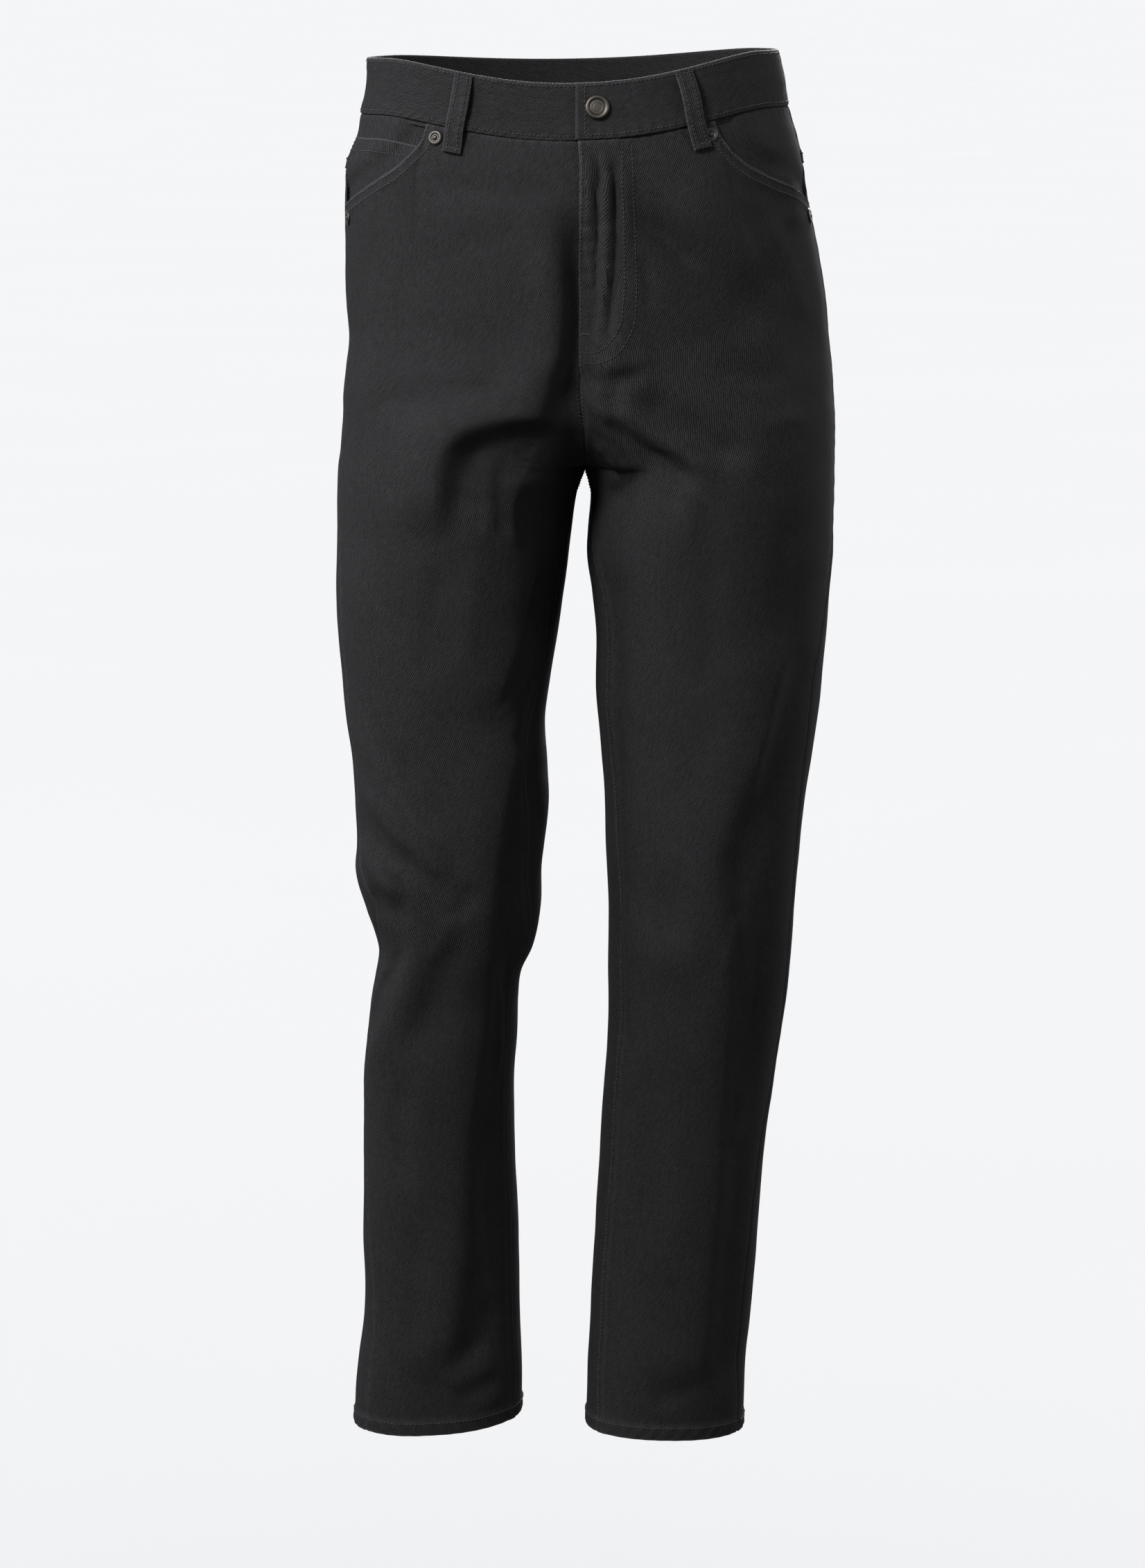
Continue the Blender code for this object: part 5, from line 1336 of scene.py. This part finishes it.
def exact_place(name, face, across, up):
    """The drop and turn that are seen at (across, up), closer than find_place gives them."""
    side = SIDES[name]
    drop, turn = (float(v) for v in find_place(name, face, across, up))
    for _ in range(5):
        here = side.points(drop, turn)
        by_drop = side.points(drop + 0.5, turn) - side.points(drop - 0.5, turn)
        by_turn = side.points(drop, turn + 0.25) - side.points(drop, turn - 0.25)
        jac = np.array([[by_drop[0], by_turn[0] / 0.5], [by_drop[2], by_turn[2] / 0.5]])
        miss = np.array([across - here[0], up - here[2]])
        if abs(np.linalg.det(jac)) < 1e-6:
            break
        step = np.linalg.solve(jac, miss)
        drop += float(np.clip(step[0], -6, 6))
        turn += float(np.clip(step[1], -4, 4))
    return drop, turn


def drawn(name, face, path, step=2.0):
    """Points of the form along a path drawn as (across, up) on one face."""
    flat = polyline(path, step)
    spots = np.array([exact_place(name, face, x, z) for x, z in flat])
    return folded(SIDES[name], spots[:, 0], spots[:, 1])


def build_leg_pieces():
    fronts = spread_shares((0, SCOOP_COLUMN, 0.81, 1), (35, 21, 26))
    backs = spread_shares((0, 1), (80,))
    yokes = spread_shares((0, 1), (72,))
    for name in SIDES:
        panel(name, "front", rows_between(PANEL_TOP, HEM, 2.6), fronts)
        panel(name, "back", rows_between(YOKE_SIDE, HEM, 2.6), backs)
        panel(name, "yoke", np.linspace(0, 1, 24), yokes)


# The coin pocket's top and bottom, as drops, and its outer side, as a share of the facing's width.
COIN_TOP, COIN_BOTTOM, COIN_SIDE = 37.0, 94.0, 0.07


def build_facing_pieces():
    for name, side in SIDES.items():
        deep = 3.5 if name == "right" else 2.2
        drops = np.linspace(PANEL_TOP, 102, 40)
        knots, turns = scoop_knots(name)
        edge = np.interp(drops, knots, turns)
        edge = edge - degrees_of(side, drops, edge, FACING_UNDER)
        _, outer = side.seam_turns(drops)
        outer = outer - degrees_of(side, drops, outer, SEAM_HALF_GAP)
        shares = np.linspace(0, 1, 56)
        drop = np.repeat(drops[:, None], len(shares), axis=1)
        turn = outer[:, None] + (edge - outer)[:, None] * shares[None, :]
        points = folded(side, drop, turn)
        like = plain_normals(side, drop, turn)
        normals = grid_normals(points, like)
        _, away = nearest_on(scoop_line(name), points.reshape(-1, 3))
        gap = np.linalg.norm(away, axis=1).reshape(drop.shape)
        seen = (turn > np.interp(drop, knots, turns)) & (drop < SCOOP_END)
        sunk = np.where(seen, deep * (1 - ease((gap - 8) / 14)), deep)
        edge_out, _ = edge_lengths(points, 1)
        edge_top, _ = edge_lengths(points, 0)
        detail = groove(edge_out) + groove(edge_top, 0.4) + pucker(drop, edge_out, 12.0, 0.2, 6.0)
        detail += pucker(edge_out, edge_top, 9.0, 0.2, 6.0)
        wear_and_crest_highlight = 0.35 * bell(edge_out, 1.5) + 0.2 * bell(edge_top, 2)
        outside = points + normals * (detail - sunk)[..., None]
        normals = grid_normals(outside, like)
        inside = layer(outside, normals, -DENIM)
        across = -edge_out if name == "right" else edge_out
        cloth = np.stack([across, drop], axis=-1)
        shell("pocket_facing_" + name, outside, inside, cloth, wear_and_crest_highlight, DENIM_LEG)
        if name == "right":
            build_coin_pocket(points + normals * (detail - sunk)[..., None], normals, like, drops, shares)


def build_coin_pocket(points, normals, like, drops, shares):
    """The small pocket lies on the facing: its own rows and columns, taken from the facing's."""
    rows = np.linspace(COIN_TOP, COIN_BOTTOM, 34)
    rows = np.sort(np.concatenate([rows, [COIN_TOP + 0.6, COIN_TOP + 1.4]]))
    columns = np.linspace(COIN_SIDE, 1.0, 48)
    at_row = np.interp(rows, drops, np.arange(len(drops)))[:, None]
    at_column = np.interp(columns, shares, np.arange(len(shares)))[None, :]
    base = net_values(points, at_row, at_column)
    ways = unit(net_values(normals, at_row, at_column))
    edge_out, _ = edge_lengths(base, 1)
    edge_top, _ = edge_lengths(base, 0)
    lift = 0.35 * (1 - ease((edge_top - 11) / 2)) + pucker(edge_out, edge_top - 5, 8.5, 0.25, 5.0)
    lift -= 0.45 * bell(edge_top, 0.8)
    lift -= 0.4 * bell(edge_out, 0.9)
    wear_and_crest_highlight = 0.8 * bell(edge_top, 1.2) + 0.5 * bell(edge_out, 1.2)
    outside = base + ways * (GAP + 1.0 + np.maximum(lift, -0.6))[..., None]
    inside = base + ways * GAP
    like_here = unit(net_values(like, at_row, at_column))
    cloth = np.stack([-edge_out, rows[:, None] + 0 * edge_out], axis=-1)
    shell("coin_pocket", outside, inside, cloth, wear_and_crest_highlight, DENIM_SMALL)
    normals = grid_normals(outside, like_here)
    PANEL_NETS["coin", "right"] = {"points": outside, "normals": normals, "top": edge_top, "out": edge_out}


def net_values(grid, rows, columns):
    """Values of a net at rows and columns that need not be whole."""
    r = np.clip(rows.astype(int), 0, grid.shape[0] - 2)
    c = np.clip(columns.astype(int), 0, grid.shape[1] - 2)
    v, u = (rows - r)[..., None], (columns - c)[..., None]
    return (
        grid[r, c] * (1 - u) * (1 - v) + grid[r, c + 1] * u * (1 - v)
        + grid[r + 1, c] * (1 - u) * v + grid[r + 1, c + 1] * u * v
    )


def build_back_pocket_pieces():
    for name, side in SIDES.items():
        shares = np.linspace(0.26, 0.83, 56)
        shares = np.sort(np.concatenate([shares, [0.263, 0.268, 0.822, 0.827]]))
        point = 202 + 20 * (1 - np.abs(shares - 0.545) / 0.285)
        down = np.sort(np.concatenate([np.linspace(0, 1, 52), [0.005, 0.012, 0.988, 0.995]]))
        rows = 82 + (point[None, :] - 82) * down[:, None]
        top = yoke_seam(shares[None, :]) + 2 * SEAM_HALF_GAP
        drop = top + (STRAIGHT_ROWS - top) * (rows - YOKE_SIDE) / (STRAIGHT_ROWS - YOKE_SIDE)
        turn = back_turns(side, drop, shares)
        points = folded(side, drop, turn)
        like = plain_normals(side, drop, turn)
        points, _ = settle_grid(PANEL_NETS["back", name], points)
        normals = grid_normals(points, like)
        edge_out, edge_in = edge_lengths(points, 1)
        edge_top, edge_bottom = edge_lengths(points, 0)
        near = np.minimum(np.minimum(edge_out, edge_in), edge_bottom)
        lift = 0.5 * (1 - ease((edge_top - 12) / 2)) + 0.5 * (1 - ease((near - 8) / 2))
        lift -= 0.6 * bell(near, 0.9) + 0.4 * bell(edge_top, 0.8)
        lift += (
            pucker(drop + edge_out, near - 4, 8.5, 0.3, 5.0)
            + pucker(edge_out, edge_top - 6, 8.5, 0.3, 5.0)
        )
        # Between its seams the pocket stands a little off the seat.
        lift += 1.2 * ease(near / 34) * ease((edge_top + 20) / 40)
        wear_and_crest_highlight = 0.75 * bell(near, 1.3) + 0.75 * bell(edge_top, 1.3)
        outside = points + normals * (GAP + 0.05 + DENIM + np.maximum(lift, -0.7))[..., None]
        inside = points + normals * (GAP + 0.05)
        across = -edge_out if name == "left" else edge_out
        cloth = np.stack([across, drop], axis=-1)
        shell("back_pocket_" + name, outside, inside, cloth, wear_and_crest_highlight, DENIM_SMALL)
        net = {"points": outside, "normals": grid_normals(outside, like)}
        for inset in (2.0, 8.5):
            STITCH["backs"].run(*pocket_row(net, edge_out, edge_in, edge_bottom, inset))
        for inset in (2.0, 12.5):
            STITCH["backs"].run(*line_at(net, edge_top, inset, range(3, len(shares) - 3)))
        for corner in (3, -4):
            line = net["points"][2:8, corner]
            STITCH["backs"].tack(line, net["normals"][2:8, corner], 2.4)


def settle_grid(net, points):
    """settle for a whole net of points, a few hundred at a time."""
    shape = points.shape
    flat = points.reshape(-1, 3)
    out, ways = [], []
    for k in range(0, len(flat), 300):
        p, n = settle(net, flat[k:k + 300])
        out.append(p)
        ways.append(n)
    return np.concatenate(out).reshape(shape), np.concatenate(ways).reshape(shape)


def pocket_row(net, edge_out, edge_in, edge_bottom, value):
    """A stitch line that runs down one side of a pocket, round its bottom and up the other side."""
    points, normals = net["points"], net["normals"]
    rows, columns = edge_out.shape
    line, ways = [], []

    def add(r0, c0, share, r1, c1):
        for values, kept in ((points, line), (normals, ways)):
            kept.append(values[r0, c0] * (1 - share) + values[r1, c1] * share)

    def cross(values, goal):
        k = int(np.clip(np.searchsorted(values, goal), 1, len(values) - 1))
        return k - 1, (goal - values[k - 1]) / max(values[k] - values[k - 1], 1e-9), k

    for r in range(rows):
        k, share, n = cross(edge_out[r], value)
        if edge_bottom[r, k] < value:
            break
        add(r, k, share, r, n)
    for c in range(columns):
        values = edge_bottom[::-1, c]
        k, share, n = cross(values, value)
        k, n = rows - 1 - k, rows - 1 - n
        if min(edge_out[k, c], edge_in[k, c]) < value:
            continue
        add(k, c, share, n, c)
    back_up = []
    for r in range(rows):
        values = edge_in[r, ::-1]
        k, share, n = cross(values, value)
        k, n = columns - 1 - k, columns - 1 - n
        if edge_bottom[r, k] < value:
            break
        back_up.append((r, k, share, n))
    for r, k, share, n in back_up[::-1]:
        add(r, k, share, r, n)
    return np.array(line), unit(np.array(ways))


def build_band_piece():
    """The waistband: one doubled strip right round, whose end on the wearer's left lies on top."""
    turns = np.linspace(-0.4, 375.0, 700)
    turns = np.sort(np.concatenate([turns, [-0.1, 0.25, 374.6]]))
    rows = np.array(
        [-20, -19.93, -19.7, -19.3, -18.8, -18.1, -17.2, -16, -14, -12, -9.5, -7, -4.5, -2, 0.5, 3, 5.5, 8,
         10.5, 13, 15, 16.2, 17.2, 18.2, 18.9, 19.4, 19.8, 19.95, 20.0, 21.5, 23.0]
    )
    drop = np.repeat(rows[:, None], len(turns), axis=1)
    turn = np.repeat(turns[None, :], len(rows), axis=0)
    points, normals = waist_point(drop, turn)
    out = BAND_OUT + 1.6 * (1 - ease((turn - 13) / 16)) - 1.6 * ease((turn - 334) / 20)
    along, _ = edge_lengths(points, 1)
    top = drop - BAND_TOP
    low = WAIST_SEAM - drop
    detail = 0.4 * (1 - ease((low - 8) / 2.5)) * ease(low / 1.5) + 0.3 * (1 - ease((top - 8) / 2.5))
    detail += pucker(along, low - 2, 8.5, 0.28, 6.0) + pucker(along + 4, top - 2, 9.5, 0.16, 5.0)
    detail += 0.18 * np.sin(along / 23.0 + np.sin(along / 61.0)) * np.sin(top / 9.0)
    end = np.minimum(along, 999)
    detail -= 0.5 * bell(end, 0.8)
    half = BAND_CLOTH / 2
    near = np.clip(np.minimum(top, low * 2.0), 0, half)
    round_off = half - np.sqrt(np.maximum(half**2 - (half - near) ** 2, 0))
    outside = points + normals * (out + detail * (near / half) - round_off)[..., None]
    inside = points + normals * (out - BAND_CLOTH + round_off)[..., None]
    # The inner ply goes on down behind the panels, so that no light comes through the waist seam.
    behind = (drop >= WAIST_SEAM)[..., None]
    outside = np.where(behind, points - normals * 1.6, outside)
    inside = np.where(behind, points - normals * 2.5, inside)
    wear_and_crest_highlight = 0.75 * bell(top, 1.5) + 0.35 * bell(low, 1.2) + 0.6 * bell(end, 1.2)
    wear_and_crest_highlight += 0.15 * np.clip(pucker(along, low - 2, 8.5, 1.0, 6.0), 0, 1)
    # The waistband's warp runs along it.
    cloth = np.stack([drop, along], axis=-1)
    shell("waistband", outside, inside, cloth, np.clip(wear_and_crest_highlight, 0, 1), DENIM_LEG, crease=60.0)
    return {"points": outside, "normals": grid_normals(outside, normals), "rows": rows, "turns": turns}


def band_line(net, path):
    """A line on the waistband from its (drop, turn) points."""
    path = polyline([(d * 1.0, t * WAIST_DEGREE) for d, t in path], 1.5)
    r = np.interp(path[:, 0], net["rows"], np.arange(len(net["rows"])))
    c = np.interp(path[:, 1] / WAIST_DEGREE, net["turns"], np.arange(len(net["turns"])))
    return net_values(net["points"], r, c), unit(net_values(net["normals"], r, c))


def build_loop_pieces():
    path = polyline(LOOP_PATH, 1.1)
    along = unit(np.gradient(path, axis=0))
    across = np.stack([along[:, 1], -along[:, 0]], axis=1) * -1
    half = np.array([0.1, 0.2, 0.3, 0.38, 0.43, 0.465, 0.49, 0.5])
    shares = np.concatenate([-half[::-1], [0], half])
    widths = shares * LOOP_WIDTH
    edge = (0.5 - np.abs(shares)) * LOOP_WIDTH
    for row in LOOP_ROWS:
        loop = dict(zip(LOOP_COLUMNS, row))
        layers = []
        bulge = 0.35 * bell(edge - 3.4, 1.6) - 0.5 * bell(edge, 0.5)
        centre = loop["top"] + (loop["bottom"] - loop["top"]) * (path[:, 0] + 20) / 57
        for way in (1, -1):
            line = path + across * way * LOOP_CLOTH / 2
            drop = np.repeat(line[:, :1], len(widths), axis=1)
            turn = loop_turns(centre, widths)
            points, normals = waist_point(drop, turn)
            out = line[:, 1:] + way * bulge[None, :]
            out = out + 0.12 * way * np.sin(path[:, :1] * 0.9 + shares[None, :] * 3)
            layers.append(layer(points, normals, out))
        lengths, _ = edge_lengths(layers[0], 0)
        wear_and_crest_highlight = 0.75 * bell(edge, 0.8)[None, :] + 0 * lengths
        wear_and_crest_highlight = wear_and_crest_highlight + 0.4 * bell(lengths - lengths.max() * 0.45, 14) * 0.3
        cloth = np.stack([np.repeat(widths[None, :], len(path), axis=0), lengths], axis=-1)
        shell(loop["name"], *layers, cloth, np.clip(wear_and_crest_highlight, 0, 1), DENIM_SMALL, crease=60.0)
        normals = grid_normals(layers[0], unit(layers[0] - layers[1]))
        for share in (-0.26, 0.26):
            column = np.interp(share, shares, np.arange(len(shares)))
            c = np.full(len(path), column)
            r = np.arange(len(path), dtype=float)
            STITCH["waist"].run(net_values(layers[0], r, c), unit(net_values(normals, r, c)), 0.05)
        for spot in (2, len(path) - 4):
            r = np.full(9, float(spot))
            c = np.linspace(2, len(shares) - 3, 9)
            STITCH["waist"].tack(net_values(layers[0], r, c), unit(net_values(normals, r, c)), 1.8)


def lathe(name, profile, centre, axis, material, sides):
    """A round part from its profile of (radius, height) points, each ring a little softened."""
    axis = Vector(axis).normalized()
    spin = np.array(axis.to_track_quat("Z", "Y").to_matrix())
    profile = np.array(profile, float)
    angles = 2 * math.pi * np.arange(sides) / sides
    ring = np.stack([np.cos(angles), np.sin(angles)], axis=1)
    verts = [np.concatenate([ring * max(r, 0.001), np.full((sides, 1), h)], axis=1) for r, h in profile]
    verts = np.concatenate(verts) @ spin.T + np.array(centre)
    k = np.arange(sides)
    faces = []
    for row in range(len(profile) - 1):
        a, b = row * sides + k, row * sides + (k + 1) % sides
        faces.append(np.stack([b, a, a + sides, b + sides], axis=1))
    obj = mesh_object(name, verts * MM, np.concatenate(faces), material, 35.0)
    return obj


def soft_profile(points, radius):
    """A profile with its corners rounded."""
    points = np.array(points, float)
    out = [points[0]]
    for a, b, c in zip(points, points[1:], points[2:]):
        r1 = min(radius, np.linalg.norm(b - a) * 0.4)
        r2 = min(radius, np.linalg.norm(c - b) * 0.4)
        p, q = b + (a - b) / np.linalg.norm(a - b) * r1, b + (c - b) / np.linalg.norm(c - b) * r2
        for t in (0, 0.33, 0.67, 1):
            out.append((1 - t) ** 2 * p + 2 * t * (1 - t) * b + t * t * q)
    return out + [points[-1]]


# The button has plain rings and a low nub, and the rivets a rim round a nub: (radius, height) points.
BUTTON_PROFILE = (
    (0, 2.2), (2.9, 2.2), (3.1, 2.05), (3.3, 2.2), (4.9, 2.15), (5.15, 1.95), (5.4, 2.1), (5.8, 2.6),
    (6.6, 3.0), (7.4, 3.05), (8.1, 2.7), (8.5, 2.1), (8.6, 1.6), (8.3, 1.0), (7.8, 0.6), (4.0, 0.5), (0, 0.5),
)
RIVET_PROFILE = (
    (0, 2.15), (0.9, 2.05), (1.5, 1.7), (1.75, 1.15), (2.5, 1.0), (3.0, 1.35), (3.7, 1.6), (4.5, 1.45),
    (5.2, 1.05), (5.5, 0.6), (5.4, 0.2), (0, 0.2),
)
# How far beyond the ends of the pocket's edge the rivets stand, in degrees.
RIVET_BEYOND = {"left": 2.4, "right": 3.7}


def build_metal_pieces():
    points, normals = waist_point(-2.0, 3.8)
    middle = points + normals * (BAND_OUT + 1.6)
    obj = lathe("button_face", soft_profile(BUTTON_PROFILE, 0.3), middle, normals, BUTTON_METAL, 128)
    dress(obj, "button")
    profile = soft_profile(RIVET_PROFILE, 0.25)
    for name, side in SIDES.items():
        _, turns = scoop_knots(name)
        places = (("upper", 29.0, turns[0] - RIVET_BEYOND[name]), ("lower", SCOOP_END + 9.0, turns[-1] - 4.5))
        for which, drop, turn in places:
            points, normals = surface(side, drop, turn)
            obj = lathe("rivet_face_%s_%s" % (which, name), profile, points, normals, RIVET_METAL, 72)
            dress(obj, "rivet_%s_%s" % (which, name))


# The stitch rows beside a seam, and those at the waistband's edges.
SEAM_INSETS = (1.6, 7.6)
BAND_ROWS = (-17.3, 17.0)
# The two rows of the fly's curve, as (across, up) on the front.
FLY_ROWS = (
    ((29.5, -41), (30, -60), (31, -86), (31.5, -120), (31, -150), (28, -169.5), (24, -177), (18.5, -183),
     (12, -187), (4, -187.5)),
    ((36.5, -42), (37, -60), (38, -86), (39, -120), (39.5, -150), (37, -170), (33, -178.5), (28.5, -185.5),
     (22, -191), (14, -194), (4, -194.5)),
)
FLY_TACK = ((2.5, -174), (5, -174), (9, -174.5))


def stitch_buttonhole(band):
    """A dense stitched ring round a slit."""
    hole = []
    for angle in (2 * math.pi * k / 40 for k in range(41)):
        wide = 1.15 if math.cos(angle) < 0 else 1.0
        hole.append((-3.4 + 1.7 * math.sin(angle) * wide, 10.3 + 3.4 * math.cos(angle)))
    line, ways = band_line(band, hole)
    over = unit(np.cross(ways, np.gradient(line, axis=0)))
    for place, way, beside in zip(line, ways, over):
        ends = np.stack([place - beside * 0.9, place + beside * 0.9])
        STITCH["waist"].run(ends, np.stack([way, way]), 0.15, length=1.5, thick=0.95)


def build_stitching(band):
    # Waistband: a row near each edge, and one down its front end.
    top, low = BAND_ROWS
    for path in (
        [(top, 1.2), (top, 180), (top, 359.6)],
        [(low, 1.2), (low, 180), (low, 359.6)],
        [(top, 1.2), (0, 1.2), (low, 1.2)],
    ):
        STITCH["waist"].run(*band_line(band, path))
    stitch_buttonhole(band)
    # The fronts: the fly's edge, its curve, the pocket edges and the seams.
    fronts, backs = STITCH["fronts"], STITCH["backs"]
    net = PANEL_NETS["front", "left"]
    fronts.run(*inset_line(net, 2.0, 22, 184))
    for path in FLY_ROWS:
        fronts.run(*settle(net, drawn("left", "front", path)))
    fronts.tack(*settle(net, drawn("left", "front", FLY_TACK, 1.0)), 2.4)
    for name in SIDES:
        front, back, yoke = (PANEL_NETS[kind, name] for kind in ("front", "back", "yoke"))
        for inset in (1.8, 7.6):
            fronts.run(*scoop_row(front, name, inset))
        STITCH["seams"].run(*inset_line(front, 2.0, 196 if name == "left" else 190, 984))
        for net in (front, back):
            STITCH["hems"].run(*line_at(net, net["bottom"], 9.2))
        for inset in SEAM_INSETS:
            backs.run(*line_at(yoke, yoke["bottom"], inset))
        for inset in SEAM_INSETS if name == "right" else ():
            backs.run(*inset_line(back, inset, 96, 268))
            backs.run(*inset_line(yoke, inset, 22, 200))
    coin = PANEL_NETS["coin", "right"]
    for inset in (1.6, 10.6):
        fronts.run(*line_at(coin, coin["top"], inset, range(1, coin["top"].shape[1] - 1)))
    fronts.run(*line_at(coin, coin["out"], 1.6, by_row=True))


def scoop_row(net, name, inset):
    """The line at a distance from the front pocket's edge, on the front panel."""
    side = SIDES[name]
    drops, turns = scoop_knots(name)
    spots = polyline(np.stack([drops, turns * HIP_DEGREE], axis=1), 2.0)[1:]
    drop, turn = spots[:, 0], spots[:, 1] / HIP_DEGREE
    points = folded(side, drop, turn)
    down = unit(np.gradient(points, axis=0))
    over = unit(np.cross(plain_normals(side, drop, turn), down))
    # Away from the opening is down and towards the middle of the front.
    if over[len(over) // 2, 2] > 0:
        over = -over
    return settle(net, points + over * inset)


def build_zip_piece():
    """The closed zip's tape behind the fly, plain because it is hidden."""
    drops = np.linspace(22, 157, 60)
    turns = np.linspace(-0.4, 7.8, 18)
    drop = np.repeat(drops[:, None], len(turns), axis=1)
    turn = turns[None, :] + 0 * drop
    points, normals = waist_point(drop, turn)
    back = 2.6 + 2.2 * ease((drop - 40) / 40)
    outside = layer(points, normals, -back)
    inside = layer(points, normals, -back - 1.0)
    cloth = np.stack([turn * HIP_DEGREE, drop], axis=-1)
    shell("zip_tape", outside, inside, cloth, 0 * drop, TAPE, "tape")


# Everything -----------------------------------------------------------------------------------------------

build_leg_pieces()
build_facing_pieces()
build_back_pocket_pieces()
waistband = build_band_piece()
build_loop_pieces()
build_metal_pieces()
build_zip_piece()
build_stitching(waistband)
for rows in STITCH.values():
    rows.make()


# The level of the floor, and half its width, in metres.
FLOOR = -1.3
FLOOR_REACH = 400


def build_stage():
    """A wide pale floor."""
    count = 24
    line = FLOOR_REACH * np.linspace(-1, 1, count + 1) ** 3
    x, y = np.meshgrid(line, line, indexing="ij")
    verts = np.stack([x, y, np.full_like(x, FLOOR)], axis=-1).reshape(-1, 3)
    r, c = np.meshgrid(np.arange(count), np.arange(count), indexing="ij")
    a = (r * (count + 1) + c).ravel()
    faces = np.stack([a, a + count + 1, a + count + 2, a + 1], axis=1)
    floor = mesh_object("floor", verts, faces, floor_material(), 80.0)


def floor_material():
    n = Nodes("floor")
    place = n.place()
    cloud = n.noise(place, 0.8, 2.0)
    n.put(n.shader.inputs["Base Color"], n.mix(cloud, (0.955, 0.955, 0.96, 1), (0.975, 0.975, 0.98, 1)))
    n.shader.inputs["Roughness"].default_value = 0.95
    n.shader.inputs["Specular IOR Level"].default_value = 0.0
    return n.material


# The lamps: where they stand, in metres, their sides, watts and colours. All aim at the middle of the garment.
LIGHT_AIM = (0, 0, -0.35)
LIGHT_COLUMNS = ("name", "place", "size", "power", "colour")
LIGHTS = (
    ("key", (-1.7, -2.0, 1.7), (1.0, 1.0), 580, (1, 1, 1)),
    ("side", (-3.0, -0.7, 1.2), (1.0, 1.4), 250, (0.93, 0.97, 1.0)),
    ("far_side", (3.0, -1.6, 1.3), (1.2, 1.6), 115, (0.93, 0.97, 1.0)),
    ("rear_side", (3.0, 1.9, 1.2), (1.2, 1.6), 170, (1, 1, 1)),
    ("back", (0.5, 3.4, 1.7), (1.6, 1.6), 900, (1, 1, 1)),
)


def area_light(name, place, size, power, colour, worn):
    """A soft light that falls on the garment alone, so that the floor keeps one even tone."""
    data = bpy.data.lights.new(name, "AREA")
    data.shape = "RECTANGLE"
    data.size, data.size_y = size
    data.energy = power
    data.color = colour
    obj = bpy.data.objects.new(name, data)
    obj.location = place
    obj.rotation_euler = (Vector(LIGHT_AIM) - Vector(place)).to_track_quat("-Z", "Y").to_euler()
    bpy.context.scene.collection.objects.link(obj)
    obj.light_linking.receiver_collection = worn


def build_light():
    world = bpy.data.worlds.new("studio")
    bpy.context.scene.world = world
    world.use_nodes = True
    back = world.node_tree.nodes["Background"]
    back.inputs["Color"].default_value = (0.985, 0.99, 1.0, 1)
    back.inputs["Strength"].default_value = 0.97
    worn = bpy.data.collections.new("lit")
    for obj in bpy.data.objects:
        if obj.type == "MESH" and obj.name != "floor":
            worn.objects.link(obj)
    for row in LIGHTS:
        area_light(**dict(zip(LIGHT_COLUMNS, row)), worn=worn)


# The camera: how far its picture plane lies, and the picture's height, in pixels, and its tilt down in degrees.
FOCAL_PIXELS = 8000
PICTURE_HEIGHT = 2263
SENSOR = 36
TILT_DOWN = 8.84


def build_camera():
    data = bpy.data.cameras.new("camera")
    data.sensor_width = SENSOR
    data.sensor_fit = "AUTO"
    data.lens = FOCAL_PIXELS / PICTURE_HEIGHT * SENSOR
    camera = bpy.data.objects.new("camera", data)
    camera.location = (-0.005, -4.0, 0.1124)
    camera.rotation_euler = (math.radians(90 - TILT_DOWN), 0, 0)
    bpy.context.scene.collection.objects.link(camera)
    bpy.context.scene.camera = camera


build_stage()
build_light()
build_camera()
bpy.context.scene.view_settings.view_transform = "Standard"
bpy.context.scene.view_settings.gamma = 0.87
